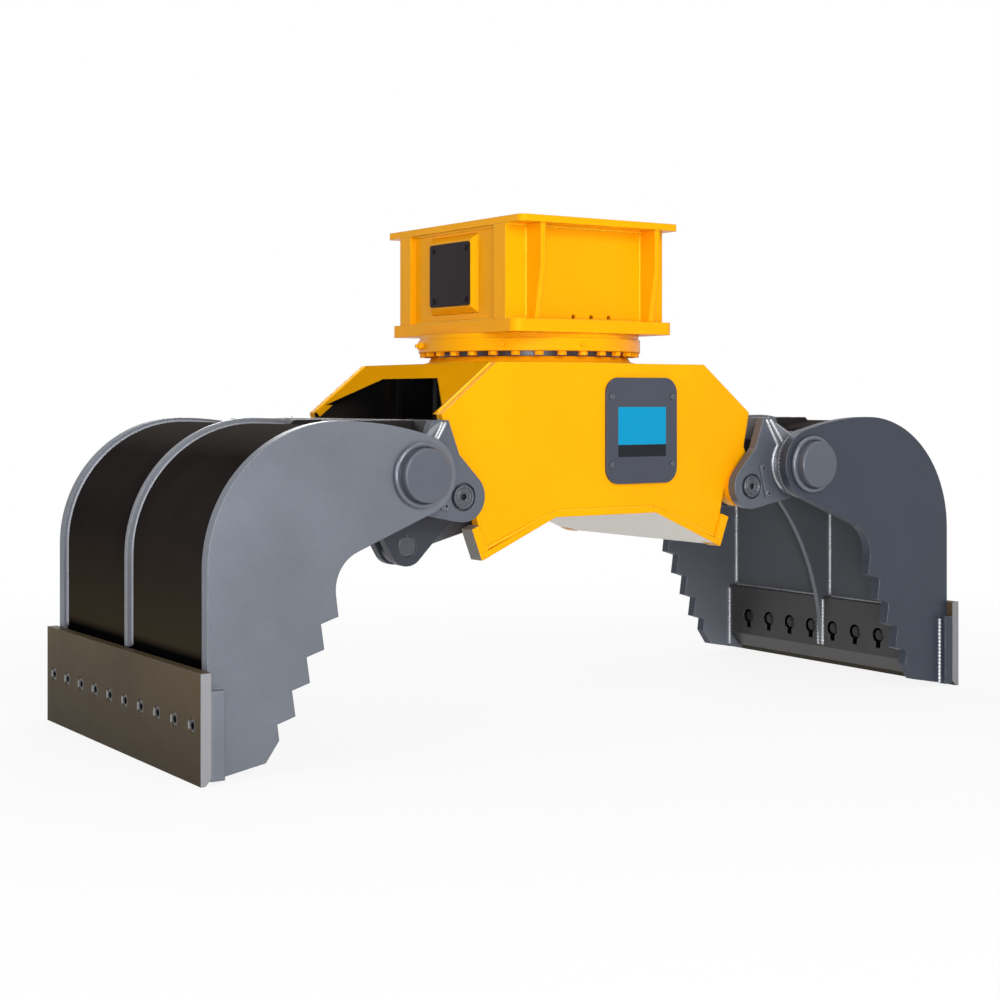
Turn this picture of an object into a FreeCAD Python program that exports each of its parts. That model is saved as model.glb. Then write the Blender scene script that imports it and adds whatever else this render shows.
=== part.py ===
import FreeCAD, Part
import Sketcher
import math
import os

# Demolition and sorting grapple with two jaws, a slewing head and a pair of horizontal cylinders.
# Millimetres. X runs along the opening, Y along the blades, Z up. The origin lies on the ground,
# midway between the jaws, which stand on their blades fully open.
# Jaw pieces are drawn for the right jaw (+X). The left jaw holds them turned half a turn about Z.

os.makedirs("parts", exist_ok=True)
doc = FreeCAD.newDocument("grapple")

# Driving dimensions: name, value in mm, degrees or a count, and what it is
SIZES = [
    ("pivot_x", 441, "jaw pivot, distance from the middle"),
    ("pivot_z", 563, "jaw pivot, height"),
    ("pivot_pin_radius", 33, "jaw pivot pin"),
    ("pin_clearance", 0.08, "radial running clearance at pins"),
    ("tube_x", 592, "torque tube axis, distance from the middle"),
    ("tube_z", 619, "torque tube axis, height"),
    ("tube_radius", 84, "torque tube, outside"),
    ("tube_wall", 16, "torque tube wall"),
    ("cap_radius", 60, "torque tube end cap"),
    ("cap_proud", 33, "end cap, how far it stands out of the side plate"),
    ("cap_collar_radius", 72, "collar round the end cap"),
    ("cap_collar_height", 9, "collar height"),
    ("cap_chamfer", 3, "chamfer of the end cap"),
    ("blade_overhang", 20, "blade, how far it passes the side plates"),
    ("side_plate_thickness", 28, "jaw side plate"),
    ("boss_radius", 90, "round inner end of the side plate"),
    ("back_x", 1104, "straight back edge of the side plate"),
    ("bend_z", 435, "height where the back starts to curve"),
    ("bend_radius", 305, "radius of the back curve"),
    ("throat_radius", 85, "radius of the throat under the boss"),
    ("throat_angle", 22, "fall of the lower edge of the boss"),
    ("tooth_x", 800, "tip of the first tooth, distance from the middle"),
    ("tooth_z", 321, "tip of the first tooth, height"),
    ("tooth_count", 4, "teeth on each side plate"),
    ("tooth_pitch", 75.8, "tooth pitch along the tooth line"),
    ("tooth_line_angle", 26.9, "tooth line, from the vertical"),
    ("tooth_depth", 44.3, "length of a tooth step"),
    ("tooth_step_angle", 16.9, "fall of a tooth step"),
    ("tooth_face_angle", 7.3, "lean of a tooth face from the vertical"),
    ("toe_face", 34, "short face under the last tooth"),
    ("toe_x", 972, "front corner of the toe"),
    ("toe_z", 27.5, "front corner of the toe, height"),
    ("heel_z", 4, "heel of the side plate, height"),
    ("blade_width", 900, "cutting blade, along Y"),
    ("blade_height", 230, "cutting blade"),
    ("blade_thickness", 24, "cutting blade"),
    ("blade_bevel", 14, "bevel on the inside of the cutting edge"),
    ("bolt_pitch", 90, "pitch of the blade bolts"),
    ("bolt_height", 118, "blade bolt row, height"),
    ("bolt_radius", 10, "blade bolt shank"),
    ("bolt_play", 1, "radial play of a bolt in its hole"),
    ("bolt_head_radius", 18, "countersunk head of a blade bolt"),
    ("bolt_head_depth", 11, "depth of the countersunk head"),
    ("nut_across", 30, "nut across flats"),
    ("nut_length", 18, "nut height"),
    ("bolt_end", 2, "blade bolt, past its nut"),
    ("pocket_radius", 21, "nut pocket in the backing bar"),
    ("pocket_depth", 22, "depth of a nut pocket"),
    ("pocket_slot", 9, "half width of the drain slot under a nut pocket"),
    ("pocket_slot_drop", 36, "length of the drain slot"),
    ("bar_thickness", 54, "backing bar behind the blade"),
    ("bar_top", 206, "backing bar, top"),
    ("bar_bevel_z", 60, "backing bar, height of its bevel"),
    ("bar_foot_z", 18, "backing bar, bottom"),
    ("bar_foot_width", 16, "backing bar, width of its bottom"),
    ("end_bar_width", 30, "upright bar at the blade's end"),
    ("end_bar_top", 192, "upright bar, top"),
    ("end_bar_foot", 8, "upright bar, bottom"),
    ("shell_inset", 10, "shell, set in from the side plate's edge"),
    ("shell_thickness", 16, "jaw shell"),
    ("shell_end_x", 624, "upper end of the shell"),
    ("rib_thickness", 14, "ribs of the jaw"),
    ("back_rib_height", 13, "rib on the back of the shell"),
    ("back_rib_gap", 2, "rib on the back, above the blade"),
    ("web_arc_x", 395, "centre of the inner rib's edge"),
    ("web_arc_z", 60, "centre of the inner rib's edge, height"),
    ("web_arc_radius", 650, "radius of the inner rib's edge"),
    ("web_foot_z", 70, "lower end of the inner rib"),
    ("tail_end_x", 716, "outer end of the top ribs, distance from the middle"),
    ("tail_toe", 14, "slope at the end of a top rib"),
    ("ear_step", 62, "outer ear plate, inside the side plate's outside face"),
    ("ear_thickness", 25, "outer ear plate"),
    ("lobe_radius", 58, "ear round the jaw pivot"),
    ("arm_drop", 1, "ear arm, below the top of the side plate"),
    ("arm_inner_x", 482, "inner edge of the ear arm's top"),
    ("arm_outer_x", 524, "outer edge of the ear arm's top"),
    ("arm_knee_x", 453, "knee of the ear arm"),
    ("arm_knee_z", 660, "knee of the ear arm, height"),
    ("lever_radius", 150, "jaw pivot to lever pin"),
    ("lever_angle", 130, "lever direction at rest, from +X"),
    ("lug_angle", -50, "sync lug direction at rest, from +X"),
    ("lever_eye_radius", 38, "lever round its pin"),
    ("lug_eye_radius", 46, "sync lug round its pin"),
    ("lever_pin_radius", 24, "lever pin"),
    ("lever_thickness", 22, "lever plates"),
    ("lever_room", 20, "room between the near lever plate and the cheek"),
    ("link_room", 2, "side gap between the sync link and the lever plates"),
    ("lever_far_outer", 62, "lever plate beside the middle"),
    ("front_wall_thickness", 14, "closing plate between the ears"),
    ("wall_foot_angle", 124, "foot of the closing plate on the tube, from +X"),
    ("lever_foot_angle", 137, "upper foot of the lever plates on the tube, from +X"),
    ("cheek_gap", 20, "room between the cheek and the ear plate"),
    ("cheek_thickness", 25, "cheek plate"),
    ("cheek_top_x", 318, "end of the cheek's top edge"),
    ("cheek_top_z", 875, "cheek's top edge, height"),
    ("cheek_corner_x", 472, "outer corner of the cheek"),
    ("cheek_corner_z", 752, "outer corner of the cheek, height"),
    ("cheek_waist_x", 453, "cheek's end edge above the pivot"),
    ("cheek_waist_z", 664, "cheek's end edge above the pivot, height"),
    ("hub_radius", 54, "pivot hub of the cheek"),
    ("hub_gap", 2, "pivot hub to the ear plate"),
    ("hub_inner_gap", 3, "pivot hub to the lever plate"),
    ("bush_wall", 7, "pivot bush wall"),
    ("spike_x", 357, "spike of the cheek"),
    ("spike_z", 414, "spike of the cheek, height"),
    ("foot_x", 385, "top of the foot plate"),
    ("foot_z", 488, "top of the foot plate, height"),
    ("foot_gap", 6, "foot plate, clear of the lever plates"),
    ("ridge_x", 154, "end of the flat underside"),
    ("ridge_z", 504, "flat underside, height"),
    ("floor_thickness", 14, "underside, deck and end plates"),
    ("lip", 8, "underside plates, how far they pass the cheeks"),
    ("window_side", 15, "end window, from the cheeks at its foot"),
    ("window_high", 131, "half width of the end window at its top"),
    ("window_top_z", 838, "end window, top"),
    ("window_knee_z", 772, "height where the window reaches its full width"),
    ("spine_x", 290, "middle web, half length"),
    ("lug_notch_gap", 5, "cut-out for the sync lug, room beside its plates"),
    ("lug_notch_x", 255, "inner end of the cut-out for the sync lug"),
    ("link_slot_end", 70, "inner end of the slot for the sync link, past the middle"),
    ("link_slot_gap", 5, "side gap of the sync link in its slot"),
    ("spine_thickness", 18, "middle web of the body"),
    ("stiffener_x", 230, "upright stiffener inside the cheek"),
    ("stiffener_depth", 36, "upright stiffener, reach from the cheek"),
    ("stop_thickness", 10, "stop pad on the foot plate"),
    ("panel_x", 111, "middle of the cover plate on the cheek"),
    ("panel_z", 709, "middle of the cover plate, height"),
    ("panel_width", 222, "cover plate"),
    ("panel_height", 262, "cover plate"),
    ("panel_corner", 38, "cover plate, corner radius"),
    ("panel_thickness", 8, "cover plate"),
    ("screw_radius", 7, "cover screw head"),
    ("screw_head", 4, "cover screw head height"),
    ("screw_inset_x", 15, "cover screw, from the side of the plate"),
    ("screw_inset_z", 47, "cover screw, from the end of the plate"),
    ("cone_low_radius", 270, "ring seat at the deck"),
    ("cone_high_radius", 255, "ring seat at its top"),
    ("cone_bore", 206, "bore of the ring seat"),
    ("cone_height", 18, "ring seat"),
    ("gear_module", 6, "slewing gear module"),
    ("gear_dedendum", 1.25, "root of the gear teeth, in modules"),
    ("ring_teeth", 66, "teeth of the ring gear"),
    ("pinion_teeth", 14, "teeth of the pinion"),
    ("race_radius", 235, "slewing bearing, radius of the race gap"),
    ("race_gap", 0.6, "slewing bearing, radial gap of the rings"),
    ("ring_gear_height", 47, "ring gear"),
    ("outer_ring_radius", 288, "outer race, outside"),
    ("outer_ring_lift", 13, "outer race, above the ring seat"),
    ("outer_ring_height", 32, "outer race"),
    ("drum_radius", 284, "spacer drum over the outer race"),
    ("drum_height", 12, "spacer drum"),
    ("ring_bolt_count", 30, "bolts of the outer race"),
    ("ring_bolt_circle", 273, "bolt circle radius of the outer race"),
    ("ring_bolt_radius", 8, "race bolt shank"),
    ("ring_bolt_head", 12, "race bolt head radius"),
    ("ring_bolt_head_height", 11, "race bolt head height"),
    ("base_half_x", 246, "head base plate, half size"),
    ("base_half_y", 292, "head base plate, half size"),
    ("base_thickness", 31, "head base plate"),
    ("base_corner", 26, "head base plate, corner radius"),
    ("base_bore", 60, "hole in the middle of the base plate"),
    ("walls_height", 231, "head walls"),
    ("walls_thickness", 12, "head walls"),
    ("front_wall_half_x", 243, "front and rear head wall, half length"),
    ("front_wall_outer", 247, "front and rear head wall, outer face"),
    ("side_wall_outer", 228, "side head wall, outer face"),
    ("foot_hole_radius", 6, "drain hole at the foot of the front wall"),
    ("foot_hole_height", 9, "drain hole, above the base plate"),
    ("foot_hole_x", 16, "middle drain hole"),
    ("foot_hole_pitch", 55, "pitch of the drain holes"),
    ("hatch_half", 93, "hatch box, half width of its face"),
    ("post_width", 53, "corner post, along Y"),
    ("gusset_x", 176, "gusset of the head, distance from the middle"),
    ("gusset_top", 310, "gusset, reach at its top"),
    ("gusset_foot", 284, "gusset, reach at its foot"),
    ("gusset_knee", 100, "gusset, straight length under the top plate"),
    ("top_half_x", 243, "head top plate, half size"),
    ("top_half_y", 314, "head top plate, half size"),
    ("top_thickness", 17, "head top plate"),
    ("top_corner", 16, "head top plate, corner radius"),
    ("top_bore", 118, "hole in the middle of the top plate"),
    ("mount_wide", 240, "spacing of the outer mounting holes along X"),
    ("mount_close", 80, "spacing of the inner mounting holes along X"),
    ("mount_long", 576, "spacing of the mounting holes along Y"),
    ("mount_hole", 13, "mounting hole radius"),
    ("hatch_low", 20, "hatch box, above the base plate"),
    ("hatch_high", 12, "hatch box, below the top plate"),
    ("hatch_bevel", 16, "bevel round the hatch box"),
    ("cover_thickness", 5, "hatch cover"),
    ("cover_margin", 8, "hatch cover, inside the box's edge"),
    ("motor_radius", 60, "slewing motor"),
    ("motor_height", 150, "slewing motor"),
    ("motor_flange", 70, "slewing motor flange radius"),
    ("motor_flange_height", 18, "slewing motor flange"),
    ("shaft_radius", 20, "pinion shaft"),
    ("pinion_height", 34, "pinion"),
    ("stem_radius", 42, "rotary union stem"),
    ("stem_height", 210, "rotary union stem"),
    ("stem_foot_radius", 78, "rotary union foot"),
    ("stem_foot_height", 14, "rotary union foot"),
    ("union_radius", 82, "rotary union body"),
    ("union_height", 112, "rotary union body"),
    ("union_clearance", 0.08, "rotary union, radial clearance"),
    ("eye_gap", 5, "side gap between the cylinder eyes and the lever plates"),
    ("barrel_radius", 62, "cylinder barrel"),
    ("barrel_wall", 12, "cylinder barrel wall"),
    ("rod_radius", 32, "piston rod"),
    ("eye_radius", 44, "cylinder eyes"),
    ("barrel_start", 54, "pin to barrel"),
    ("barrel_end_gap", 62, "barrel's mouth to the other pin when retracted"),
    ("gland_length", 44, "cylinder gland"),
    ("piston_length", 40, "piston"),
    ("piston_gap", 0.05, "piston and rod, radial clearance"),
    ("retract_gap", 6, "piston to barrel floor when retracted"),
    ("link_thickness", 30, "sync link"),
    ("link_half_height", 20, "sync link bar"),
    ("link_eye_radius", 42, "sync link, round its pin"),
    ("link_slot_length", 71, "sync link, length of the slot at its open end"),
    ("link_slot_play", 1.5, "sync link, play of the pin in its slot"),
    ("keeper_width", 18, "pin keeper"),
    ("keeper_thickness", 8, "pin keeper"),
    ("keeper_low_x", 52, "pin keeper, lower screw from the pin"),
    ("keeper_low_z", -19, "pin keeper, lower screw above the pin"),
    ("keeper_high_x", 34, "pin keeper, upper screw from the pin"),
    ("keeper_high_z", 46, "pin keeper, upper screw above the pin"),
    ("keeper_screw", 6, "keeper screw head radius"),
    ("washer_radius", 20.5, "washer on the pivot pin"),
    ("washer_thickness", 4, "washer on the pivot pin"),
    ("pin_bolt_across", 24, "bolt in the pivot pin, across flats"),
    ("pin_bolt_head", 9, "bolt in the pivot pin, head height"),
    ("neck_step", 16, "cylinder eye neck, inside the eye's side"),
    ("neck_half", 36, "cylinder eye neck, half height"),
    ("barrel_floor", 16, "cylinder barrel floor"),
    ("hub_step", 4, "ring of the cheek round its hub"),
    ("flank_angle", 20, "flank of the gear teeth"),
    ("gear_backlash", 1.6, "gear teeth, thinned by"),
    ("shaft_room", 8, "room round the pinion shaft"),
    ("shaft_end", 4, "shaft end below the motor's floor"),
    ("fitting_angle", 165, "grease fitting on the outer race"),
    ("fitting_radius", 9, "grease fitting"),
    ("fitting_reach", 14, "grease fitting"),
    ("fitting_sink", 0.5, "fittings and plugs, sunk into the race"),
    ("plug_angle", 222, "first plug of the outer race"),
    ("plug_spread", 40, "angle between the plugs"),
    ("plug_radius", 6, "plug of the outer race"),
    ("plug_reach", 5, "plug of the outer race"),
]

sheet = doc.addObject("Spreadsheet::Sheet", "Sizes")
sheet.set("A1", "what it is")
sheet.set("B1", "value")
for row, (alias, value, note) in enumerate(SIZES, start=2):
    sheet.set("A%d" % row, note)
    sheet.set("B%d" % row, str(value))
    sheet.setAlias("B%d" % row, alias)
doc.recompute()


# Sizes that follow from the driving ones, from the blade's ends in to the middle
DERIVED = {
    "side_plate_outer": "blade_width / 2 - blade_overhang",
    "ear_outer": "side_plate_outer - ear_step",
    "hub_outer": "ear_outer - ear_thickness - hub_gap",
    "cheek_outer": "ear_outer - ear_thickness - cheek_gap",
    "lever_near_outer": "cheek_outer - cheek_thickness - lever_room",
    "hub_inner": "lever_near_outer + hub_inner_gap",
    "foot_inner": "lever_near_outer + foot_gap",
    "lever_mid_outer": "lever_near_outer - lever_thickness - link_thickness - 2 * link_room",
    "lug_notch_outer": "lever_near_outer + lug_notch_gap",
    "lug_notch_inner": "lever_mid_outer - lever_thickness - lug_notch_gap",
    "window_low": "cheek_outer - cheek_thickness - window_side",
    "eye_width": "lever_mid_outer - lever_thickness - lever_far_outer - 2 * eye_gap",
    "neck_width": "eye_width - 2 * neck_step",
    "cylinder_y": "( lever_mid_outer - lever_thickness + lever_far_outer ) / 2",
    "arm_top_z": "bend_z + bend_radius - arm_drop",
}
NAMES = {alias for alias, value, note in SIZES}
SMALL = 1e-6
FULL_TURN = 360


def bound(formula):
    """Formula with derived sizes written out and the sheet's name before each driving one."""
    words = []
    for word in formula.replace("(", " ( ").replace(")", " ) ").split():
        if word in DERIVED:
            words.append("( %s )" % bound(DERIVED[word]))
        else:
            words.append("Sizes." + word if word in NAMES else word)
    text = " ".join(words)
    for function in ("cos", "sin", "sqrt"):
        text = text.replace(function + " (", function + "(")
    return text


def evaluate(formula):
    """Value of a formula of sizes, worked out by the sheet's own engine."""
    return float(sheet.evalExpression(bound(formula)))


class Values:
    """Driving and derived sizes, read by their names."""

    def __getattr__(self, alias):
        return evaluate(alias)


d = Values()


def polar(x, z, radius, angle):
    """Point at a distance and an angle in degrees from +X."""
    turn = math.radians(angle)
    return (x + radius * math.cos(turn), z + radius * math.sin(turn))


def tangent(first, second, side):
    """Points where a line touches two circles (x, z, radius); side is 1 for left, -1 for right."""
    gap_x = second[0] - first[0]
    gap_z = second[1] - first[1]
    length = math.hypot(gap_x, gap_z)
    heading = math.degrees(math.atan2(gap_z, gap_x))
    lean = math.degrees(math.acos((first[2] - second[2]) / length))
    angle = heading + side * lean
    return polar(first[0], first[1], first[2], angle), polar(second[0], second[1], second[2], angle)


def crossing(p, p_angle, q, q_angle):
    """Point where two lines, each given by a point and a heading, cross."""
    ax = math.cos(math.radians(p_angle))
    az = math.sin(math.radians(p_angle))
    bx = math.cos(math.radians(q_angle))
    bz = math.sin(math.radians(q_angle))
    reach = ((q[0] - p[0]) * bz - (q[1] - p[1]) * bx) / (ax * bz - az * bx)
    return (p[0] + reach * ax, p[1] + reach * az)


def heading(p, q):
    """Heading of the line from p to q in degrees."""
    return math.degrees(math.atan2(q[1] - p[1], q[0] - p[0]))


def inset(points, depth):
    """Open line of points moved to its right by depth, with its ends square to their runs."""
    angles = [heading(p, q) for p, q in zip(points, points[1:])]
    moved = []
    for index, point in enumerate(points):
        before = angles[max(index - 1, 0)]
        after = angles[min(index, len(angles) - 1)]
        start = polar(point[0], point[1], depth, before - 90)
        end = polar(point[0], point[1], depth, after - 90)
        moved.append(start if before == after else crossing(start, before, end, after))
    return moved


class Outline:
    """A closed outline of lines and arcs, drawn in order."""

    def __init__(self, x, z):
        self.first = (x, z)
        self.at = (x, z)
        self.pieces = []

    def line(self, x, z):
        if math.hypot(x - self.at[0], z - self.at[1]) > SMALL:
            start = FreeCAD.Vector(self.at[0], self.at[1], 0)
            self.pieces.append(Part.LineSegment(start, FreeCAD.Vector(x, z, 0)))
            self.at = (x, z)
        return self

    def arc(self, centre, x, z, clockwise):
        """Arc about centre to (x, z)."""
        start = heading(centre, self.at)
        end = heading(centre, (x, z))
        sweep = (end - start) % FULL_TURN
        if clockwise:
            sweep -= FULL_TURN
        radius = math.hypot(self.at[0] - centre[0], self.at[1] - centre[1])
        middle = polar(centre[0], centre[1], radius, start + sweep / 2)
        points = [FreeCAD.Vector(p[0], p[1], 0) for p in (self.at, middle, (x, z))]
        self.pieces.append(Part.Arc(*points))
        self.at = (x, z)
        return self

    def close(self):
        return self.line(*self.first).pieces


def polygon(points):
    outline = Outline(*points[0])
    for point in points[1:]:
        outline.line(*point)
    return outline.close()


def rounded(half_x, half_z, corner, x=0.0, z=0.0):
    """Rectangle with round corners about (x, z)."""
    outline = Outline(x + half_x, z - half_z + corner)
    for side_x, side_z in ((1, 1), (-1, 1), (-1, -1), (1, -1)):
        centre = (x + side_x * (half_x - corner), z + side_z * (half_z - corner))
        turn = heading((0, 0), (side_x, side_z))
        start = polar(centre[0], centre[1], corner, turn - 45)
        end = polar(centre[0], centre[1], corner, turn + 45)
        outline.line(*start).arc(centre, end[0], end[1], False)
    return outline.close()


def plane_of(body, role):
    return [item for item in body.Origin.OriginFeatures if item.Role == role][0]


def padded(name, role, outline, length, holes=()):
    """Body with one pad of an outline; length and each hole's radius and centre are sheet formulas."""
    body = doc.addObject("PartDesign::Body", name)
    sketch = body.newObject("Sketcher::SketchObject", name + "_outline")
    sketch.AttachmentSupport = [(plane_of(body, role), "")]
    sketch.MapMode = "FlatFace"
    for piece in outline:
        sketch.addGeometry(piece, False)
    for x_formula, z_formula, radius_formula in holes:
        centre = FreeCAD.Vector(evaluate(x_formula), evaluate(z_formula), 0)
        circle = Part.Circle(centre, FreeCAD.Vector(0, 0, 1), evaluate(radius_formula))
        index = sketch.addGeometry(circle, False)
        for kind, formula in (("DistanceX", x_formula), ("DistanceY", z_formula), ("Radius", radius_formula)):
            value = evaluate(formula)
            if kind == "Radius":
                number = sketch.addConstraint(Sketcher.Constraint(kind, index, value))
            else:
                number = sketch.addConstraint(Sketcher.Constraint(kind, -1, 1, index, 3, value))
            sketch.setExpression("Constraints[%d]" % number, bound(formula))
    pad = body.newObject("PartDesign::Pad", name + "_pad")
    pad.Profile = sketch
    pad.setExpression("Length", bound(length))
    body.Tip = pad
    return body


def placed(shape, **formulas):
    """Moves an object by sheet formulas along x, y or z."""
    for axis, formula in formulas.items():
        shape.setExpression("Placement.Base." + axis, bound(formula))
    return shape


def plate(name, outline, outer, thickness, holes=()):
    """Upright plate in the XZ plane whose outer face lies at -outer along Y."""
    body = padded(name, "XZ_Plane", outline, thickness, holes)
    return placed(body, y="%s - ( %s )" % (thickness, outer))


def level(name, outline, bottom, height, holes=()):
    """Flat piece in the XY plane whose bottom lies at a height."""
    body = padded(name, "XY_Plane", outline, height, holes)
    return placed(body, z=bottom)


def cylinder(name, radius, length, axis="Z", **at):
    item = doc.addObject("Part::Cylinder", name)
    item.setExpression("Radius", bound(radius))
    item.setExpression("Height", bound(length))
    if axis == "Y":
        item.Placement.Rotation = FreeCAD.Rotation(FreeCAD.Vector(1, 0, 0), -90)
    if axis == "X":
        item.Placement.Rotation = FreeCAD.Rotation(FreeCAD.Vector(0, 1, 0), 90)
    return placed(item, **at)


def box(name, length, width, height, **at):
    item = doc.addObject("Part::Box", name)
    item.setExpression("Length", bound(length))
    item.setExpression("Width", bound(width))
    item.setExpression("Height", bound(height))
    return placed(item, **at)


def cone(name, low, high, height, axis="Z", **at):
    item = doc.addObject("Part::Cone", name)
    item.setExpression("Radius1", bound(low))
    item.setExpression("Radius2", bound(high))
    item.setExpression("Height", bound(height))
    if axis == "X":
        item.Placement.Rotation = FreeCAD.Rotation(FreeCAD.Vector(0, 1, 0), 90)
    return placed(item, **at)


def cut(name, base, tool):
    item = doc.addObject("Part::Cut", name)
    item.Base = base
    item.Tool = tool
    return item


def fuse(name, pieces):
    item = doc.addObject("Part::MultiFuse", name)
    item.Shapes = pieces
    return item


def group(name, pieces):
    item = doc.addObject("Part::Compound", name)
    item.Links = pieces
    return item


def mirrored(name, source, normal=(0, 1, 0)):
    item = doc.addObject("Part::Mirroring", name)
    item.Source = source
    item.Normal = FreeCAD.Vector(*normal)
    return item


def moved(name, source, x=0.0, y=0.0, z=0.0):
    """Copy of a piece at another place."""
    item = group(name, [source])
    item.Placement.Base = FreeCAD.Vector(x, y, z)
    return item


def turned(name, source, angle):
    """Copy of a piece turned about Z."""
    item = group(name, [source])
    item.Placement.Rotation = FreeCAD.Rotation(FreeCAD.Vector(0, 0, 1), angle)
    return item


def both_sides(name, piece):
    """A piece of the near side and its mirror image on the far side."""
    return [piece, mirrored(name + "_far", piece)]


sub_parts = []


def node(name, pieces, angle=0):
    """One sub-part: the pieces as separate solids under one label, turned about Z."""
    for other in doc.findObjects(Label="^%s$" % name):
        other.Label = name + "_piece"
    item = group(name + "_node", pieces)
    item.Label = name
    item.Placement.Rotation = FreeCAD.Rotation(FreeCAD.Vector(0, 0, 1), angle)
    sub_parts.append(item)
    return item


def on_both_jaws(name, pieces):
    """The same pieces on the right jaw and, turned half a turn, on the left jaw."""
    node("right_" + name, pieces, 0)
    node("left_" + name, pieces, 180)


# Jaw: named circles and points in the XZ plane
PIVOT = (d.pivot_x, d.pivot_z)
TUBE = (d.tube_x, d.tube_z)
LEVER_PIN = polar(d.pivot_x, d.pivot_z, d.lever_radius, d.lever_angle)
LUG_PIN = polar(d.pivot_x, d.pivot_z, d.lever_radius, d.lug_angle)
BEND = (d.back_x - d.bend_radius, d.bend_z)
LEVER_X = "pivot_x + lever_radius * cos ( lever_angle * 1deg )"
LEVER_Z = "pivot_z + lever_radius * sin ( lever_angle * 1deg )"
LUG_X = "pivot_x + lever_radius * cos ( lug_angle * 1deg )"
LUG_Z = "pivot_z + lever_radius * sin ( lug_angle * 1deg )"


def crown_arc():
    """Flat top arc of the side plate: tangent to the back curve at its top and to the boss round the tube."""
    side = d.tube_x - BEND[0]
    drop = BEND[1] + d.bend_radius - d.tube_z
    radius = (side * side + drop * drop - d.boss_radius ** 2) / (2 * (drop - d.boss_radius))
    return (BEND[0], BEND[1] + d.bend_radius - radius), radius


CROWN, CROWN_RADIUS = crown_arc()
CROWN_ANGLE = heading(CROWN, TUBE)


def tooth_points():
    """Tips and roots of the side plate's teeth, from the throat down to the toe."""
    points = []
    tip = (d.tooth_x, d.tooth_z)
    for _ in range(int(d.tooth_count)):
        root = polar(tip[0], tip[1], d.tooth_depth, -d.tooth_step_angle)
        points += [tip, root]
        tip = polar(tip[0], tip[1], d.tooth_pitch, d.tooth_line_angle - 90)
    points.append(polar(points[-1][0], points[-1][1], d.toe_face, -90 - d.tooth_face_angle))
    points.append((d.toe_x, d.toe_z))
    return points


def side_plate_outline():
    top = (BEND[0], BEND[1] + d.bend_radius)
    boss_top = polar(TUBE[0], TUBE[1], d.boss_radius, CROWN_ANGLE)
    boss_low = polar(TUBE[0], TUBE[1], d.boss_radius, -90 - d.throat_angle)
    face = -90 - d.tooth_face_angle
    corner = crossing(boss_low, -d.throat_angle, (d.tooth_x, d.tooth_z), face)
    turn = abs(face + d.throat_angle)
    reach = d.throat_radius * math.tan(math.radians(turn / 2))
    throat_start = polar(corner[0], corner[1], -reach, -d.throat_angle)
    throat_end = polar(corner[0], corner[1], reach, face)
    centre = polar(throat_start[0], throat_start[1], d.throat_radius, -90 - d.throat_angle)
    outline = Outline(d.back_x, d.heel_z)
    outline.line(d.back_x, d.bend_z)
    outline.arc(BEND, top[0], top[1], False)
    outline.arc(CROWN, boss_top[0], boss_top[1], False)
    outline.arc(TUBE, boss_low[0], boss_low[1], False)
    outline.line(*throat_start)
    outline.arc(centre, throat_end[0], throat_end[1], True)
    for point in tooth_points():
        outline.line(*point)
    return outline.close()


def back_line(depth, end_x):
    """Points on a line set in from the side plate's back and top edges: top of the back, crown, end."""
    crown_radius = CROWN_RADIUS - depth
    end_z = CROWN[1] + math.sqrt(crown_radius ** 2 - (end_x - CROWN[0]) ** 2)
    return (d.back_x - depth, d.bend_z), (BEND[0], BEND[1] + d.bend_radius - depth), (end_x, end_z)


def band_outline(outer_depth, inner_depth, low_z, end_x):
    """Band between two lines set in from the side plate's edge, from low_z up and over to end_x."""
    outer_back, outer_top, outer_end = back_line(outer_depth, end_x)
    inner_back, inner_top, inner_end = back_line(inner_depth, end_x)
    outline = Outline(outer_back[0], low_z)
    outline.line(*outer_back)
    outline.arc(BEND, outer_top[0], outer_top[1], False)
    outline.arc(CROWN, outer_end[0], outer_end[1], False)
    outline.line(*inner_end)
    outline.arc(CROWN, inner_top[0], inner_top[1], True)
    outline.arc(BEND, inner_back[0], inner_back[1], True)
    outline.line(inner_back[0], low_z)
    return outline.close()


def saddle(outline, start, end):
    """Edge that follows the torque tube's surface from start to end over its inner side."""
    outline.line(*start)
    outline.arc(TUBE, end[0], end[1], True)


def lever_outline():
    """Lever plate: round the lever pin and the pivot, and saddled on the torque tube."""
    tube = (TUBE[0], TUBE[1], d.tube_radius)
    lobe = (PIVOT[0], PIVOT[1], d.lobe_radius)
    eye = (LEVER_PIN[0], LEVER_PIN[1], d.lever_eye_radius)
    lobe_low, tube_low = tangent(lobe, tube, -1)
    top = polar(TUBE[0], TUBE[1], d.tube_radius, d.lever_foot_angle)
    eye_top = tangent((top[0], top[1], 0.0), eye, -1)[1]
    eye_low, lobe_side = tangent(eye, lobe, -1)
    outline = Outline(*lobe_low)
    saddle(outline, tube_low, top)
    outline.line(*eye_top)
    outline.arc(LEVER_PIN, eye_low[0], eye_low[1], False)
    outline.line(*lobe_side)
    outline.arc(PIVOT, lobe_low[0], lobe_low[1], False)
    return outline.close()


def ear_outline():
    """Outer ear plate: round the pivot, an arm up to the jaw's top, and saddled on the torque tube."""
    tube = (TUBE[0], TUBE[1], d.tube_radius)
    lobe = (PIVOT[0], PIVOT[1], d.lobe_radius)
    knee = (d.arm_knee_x, d.arm_knee_z, 0.0)
    lobe_low, tube_low = tangent(lobe, tube, -1)
    knee_point, lobe_side = tangent(knee, lobe, -1)
    foot = wall_foot()
    outline = Outline(*lobe_low)
    saddle(outline, tube_low, foot)
    outline.line(d.arm_outer_x, d.arm_top_z)
    outline.line(d.arm_inner_x, d.arm_top_z)
    outline.line(*knee_point)
    outline.line(*lobe_side)
    outline.arc(PIVOT, lobe_low[0], lobe_low[1], False)
    return outline.close()


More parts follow.
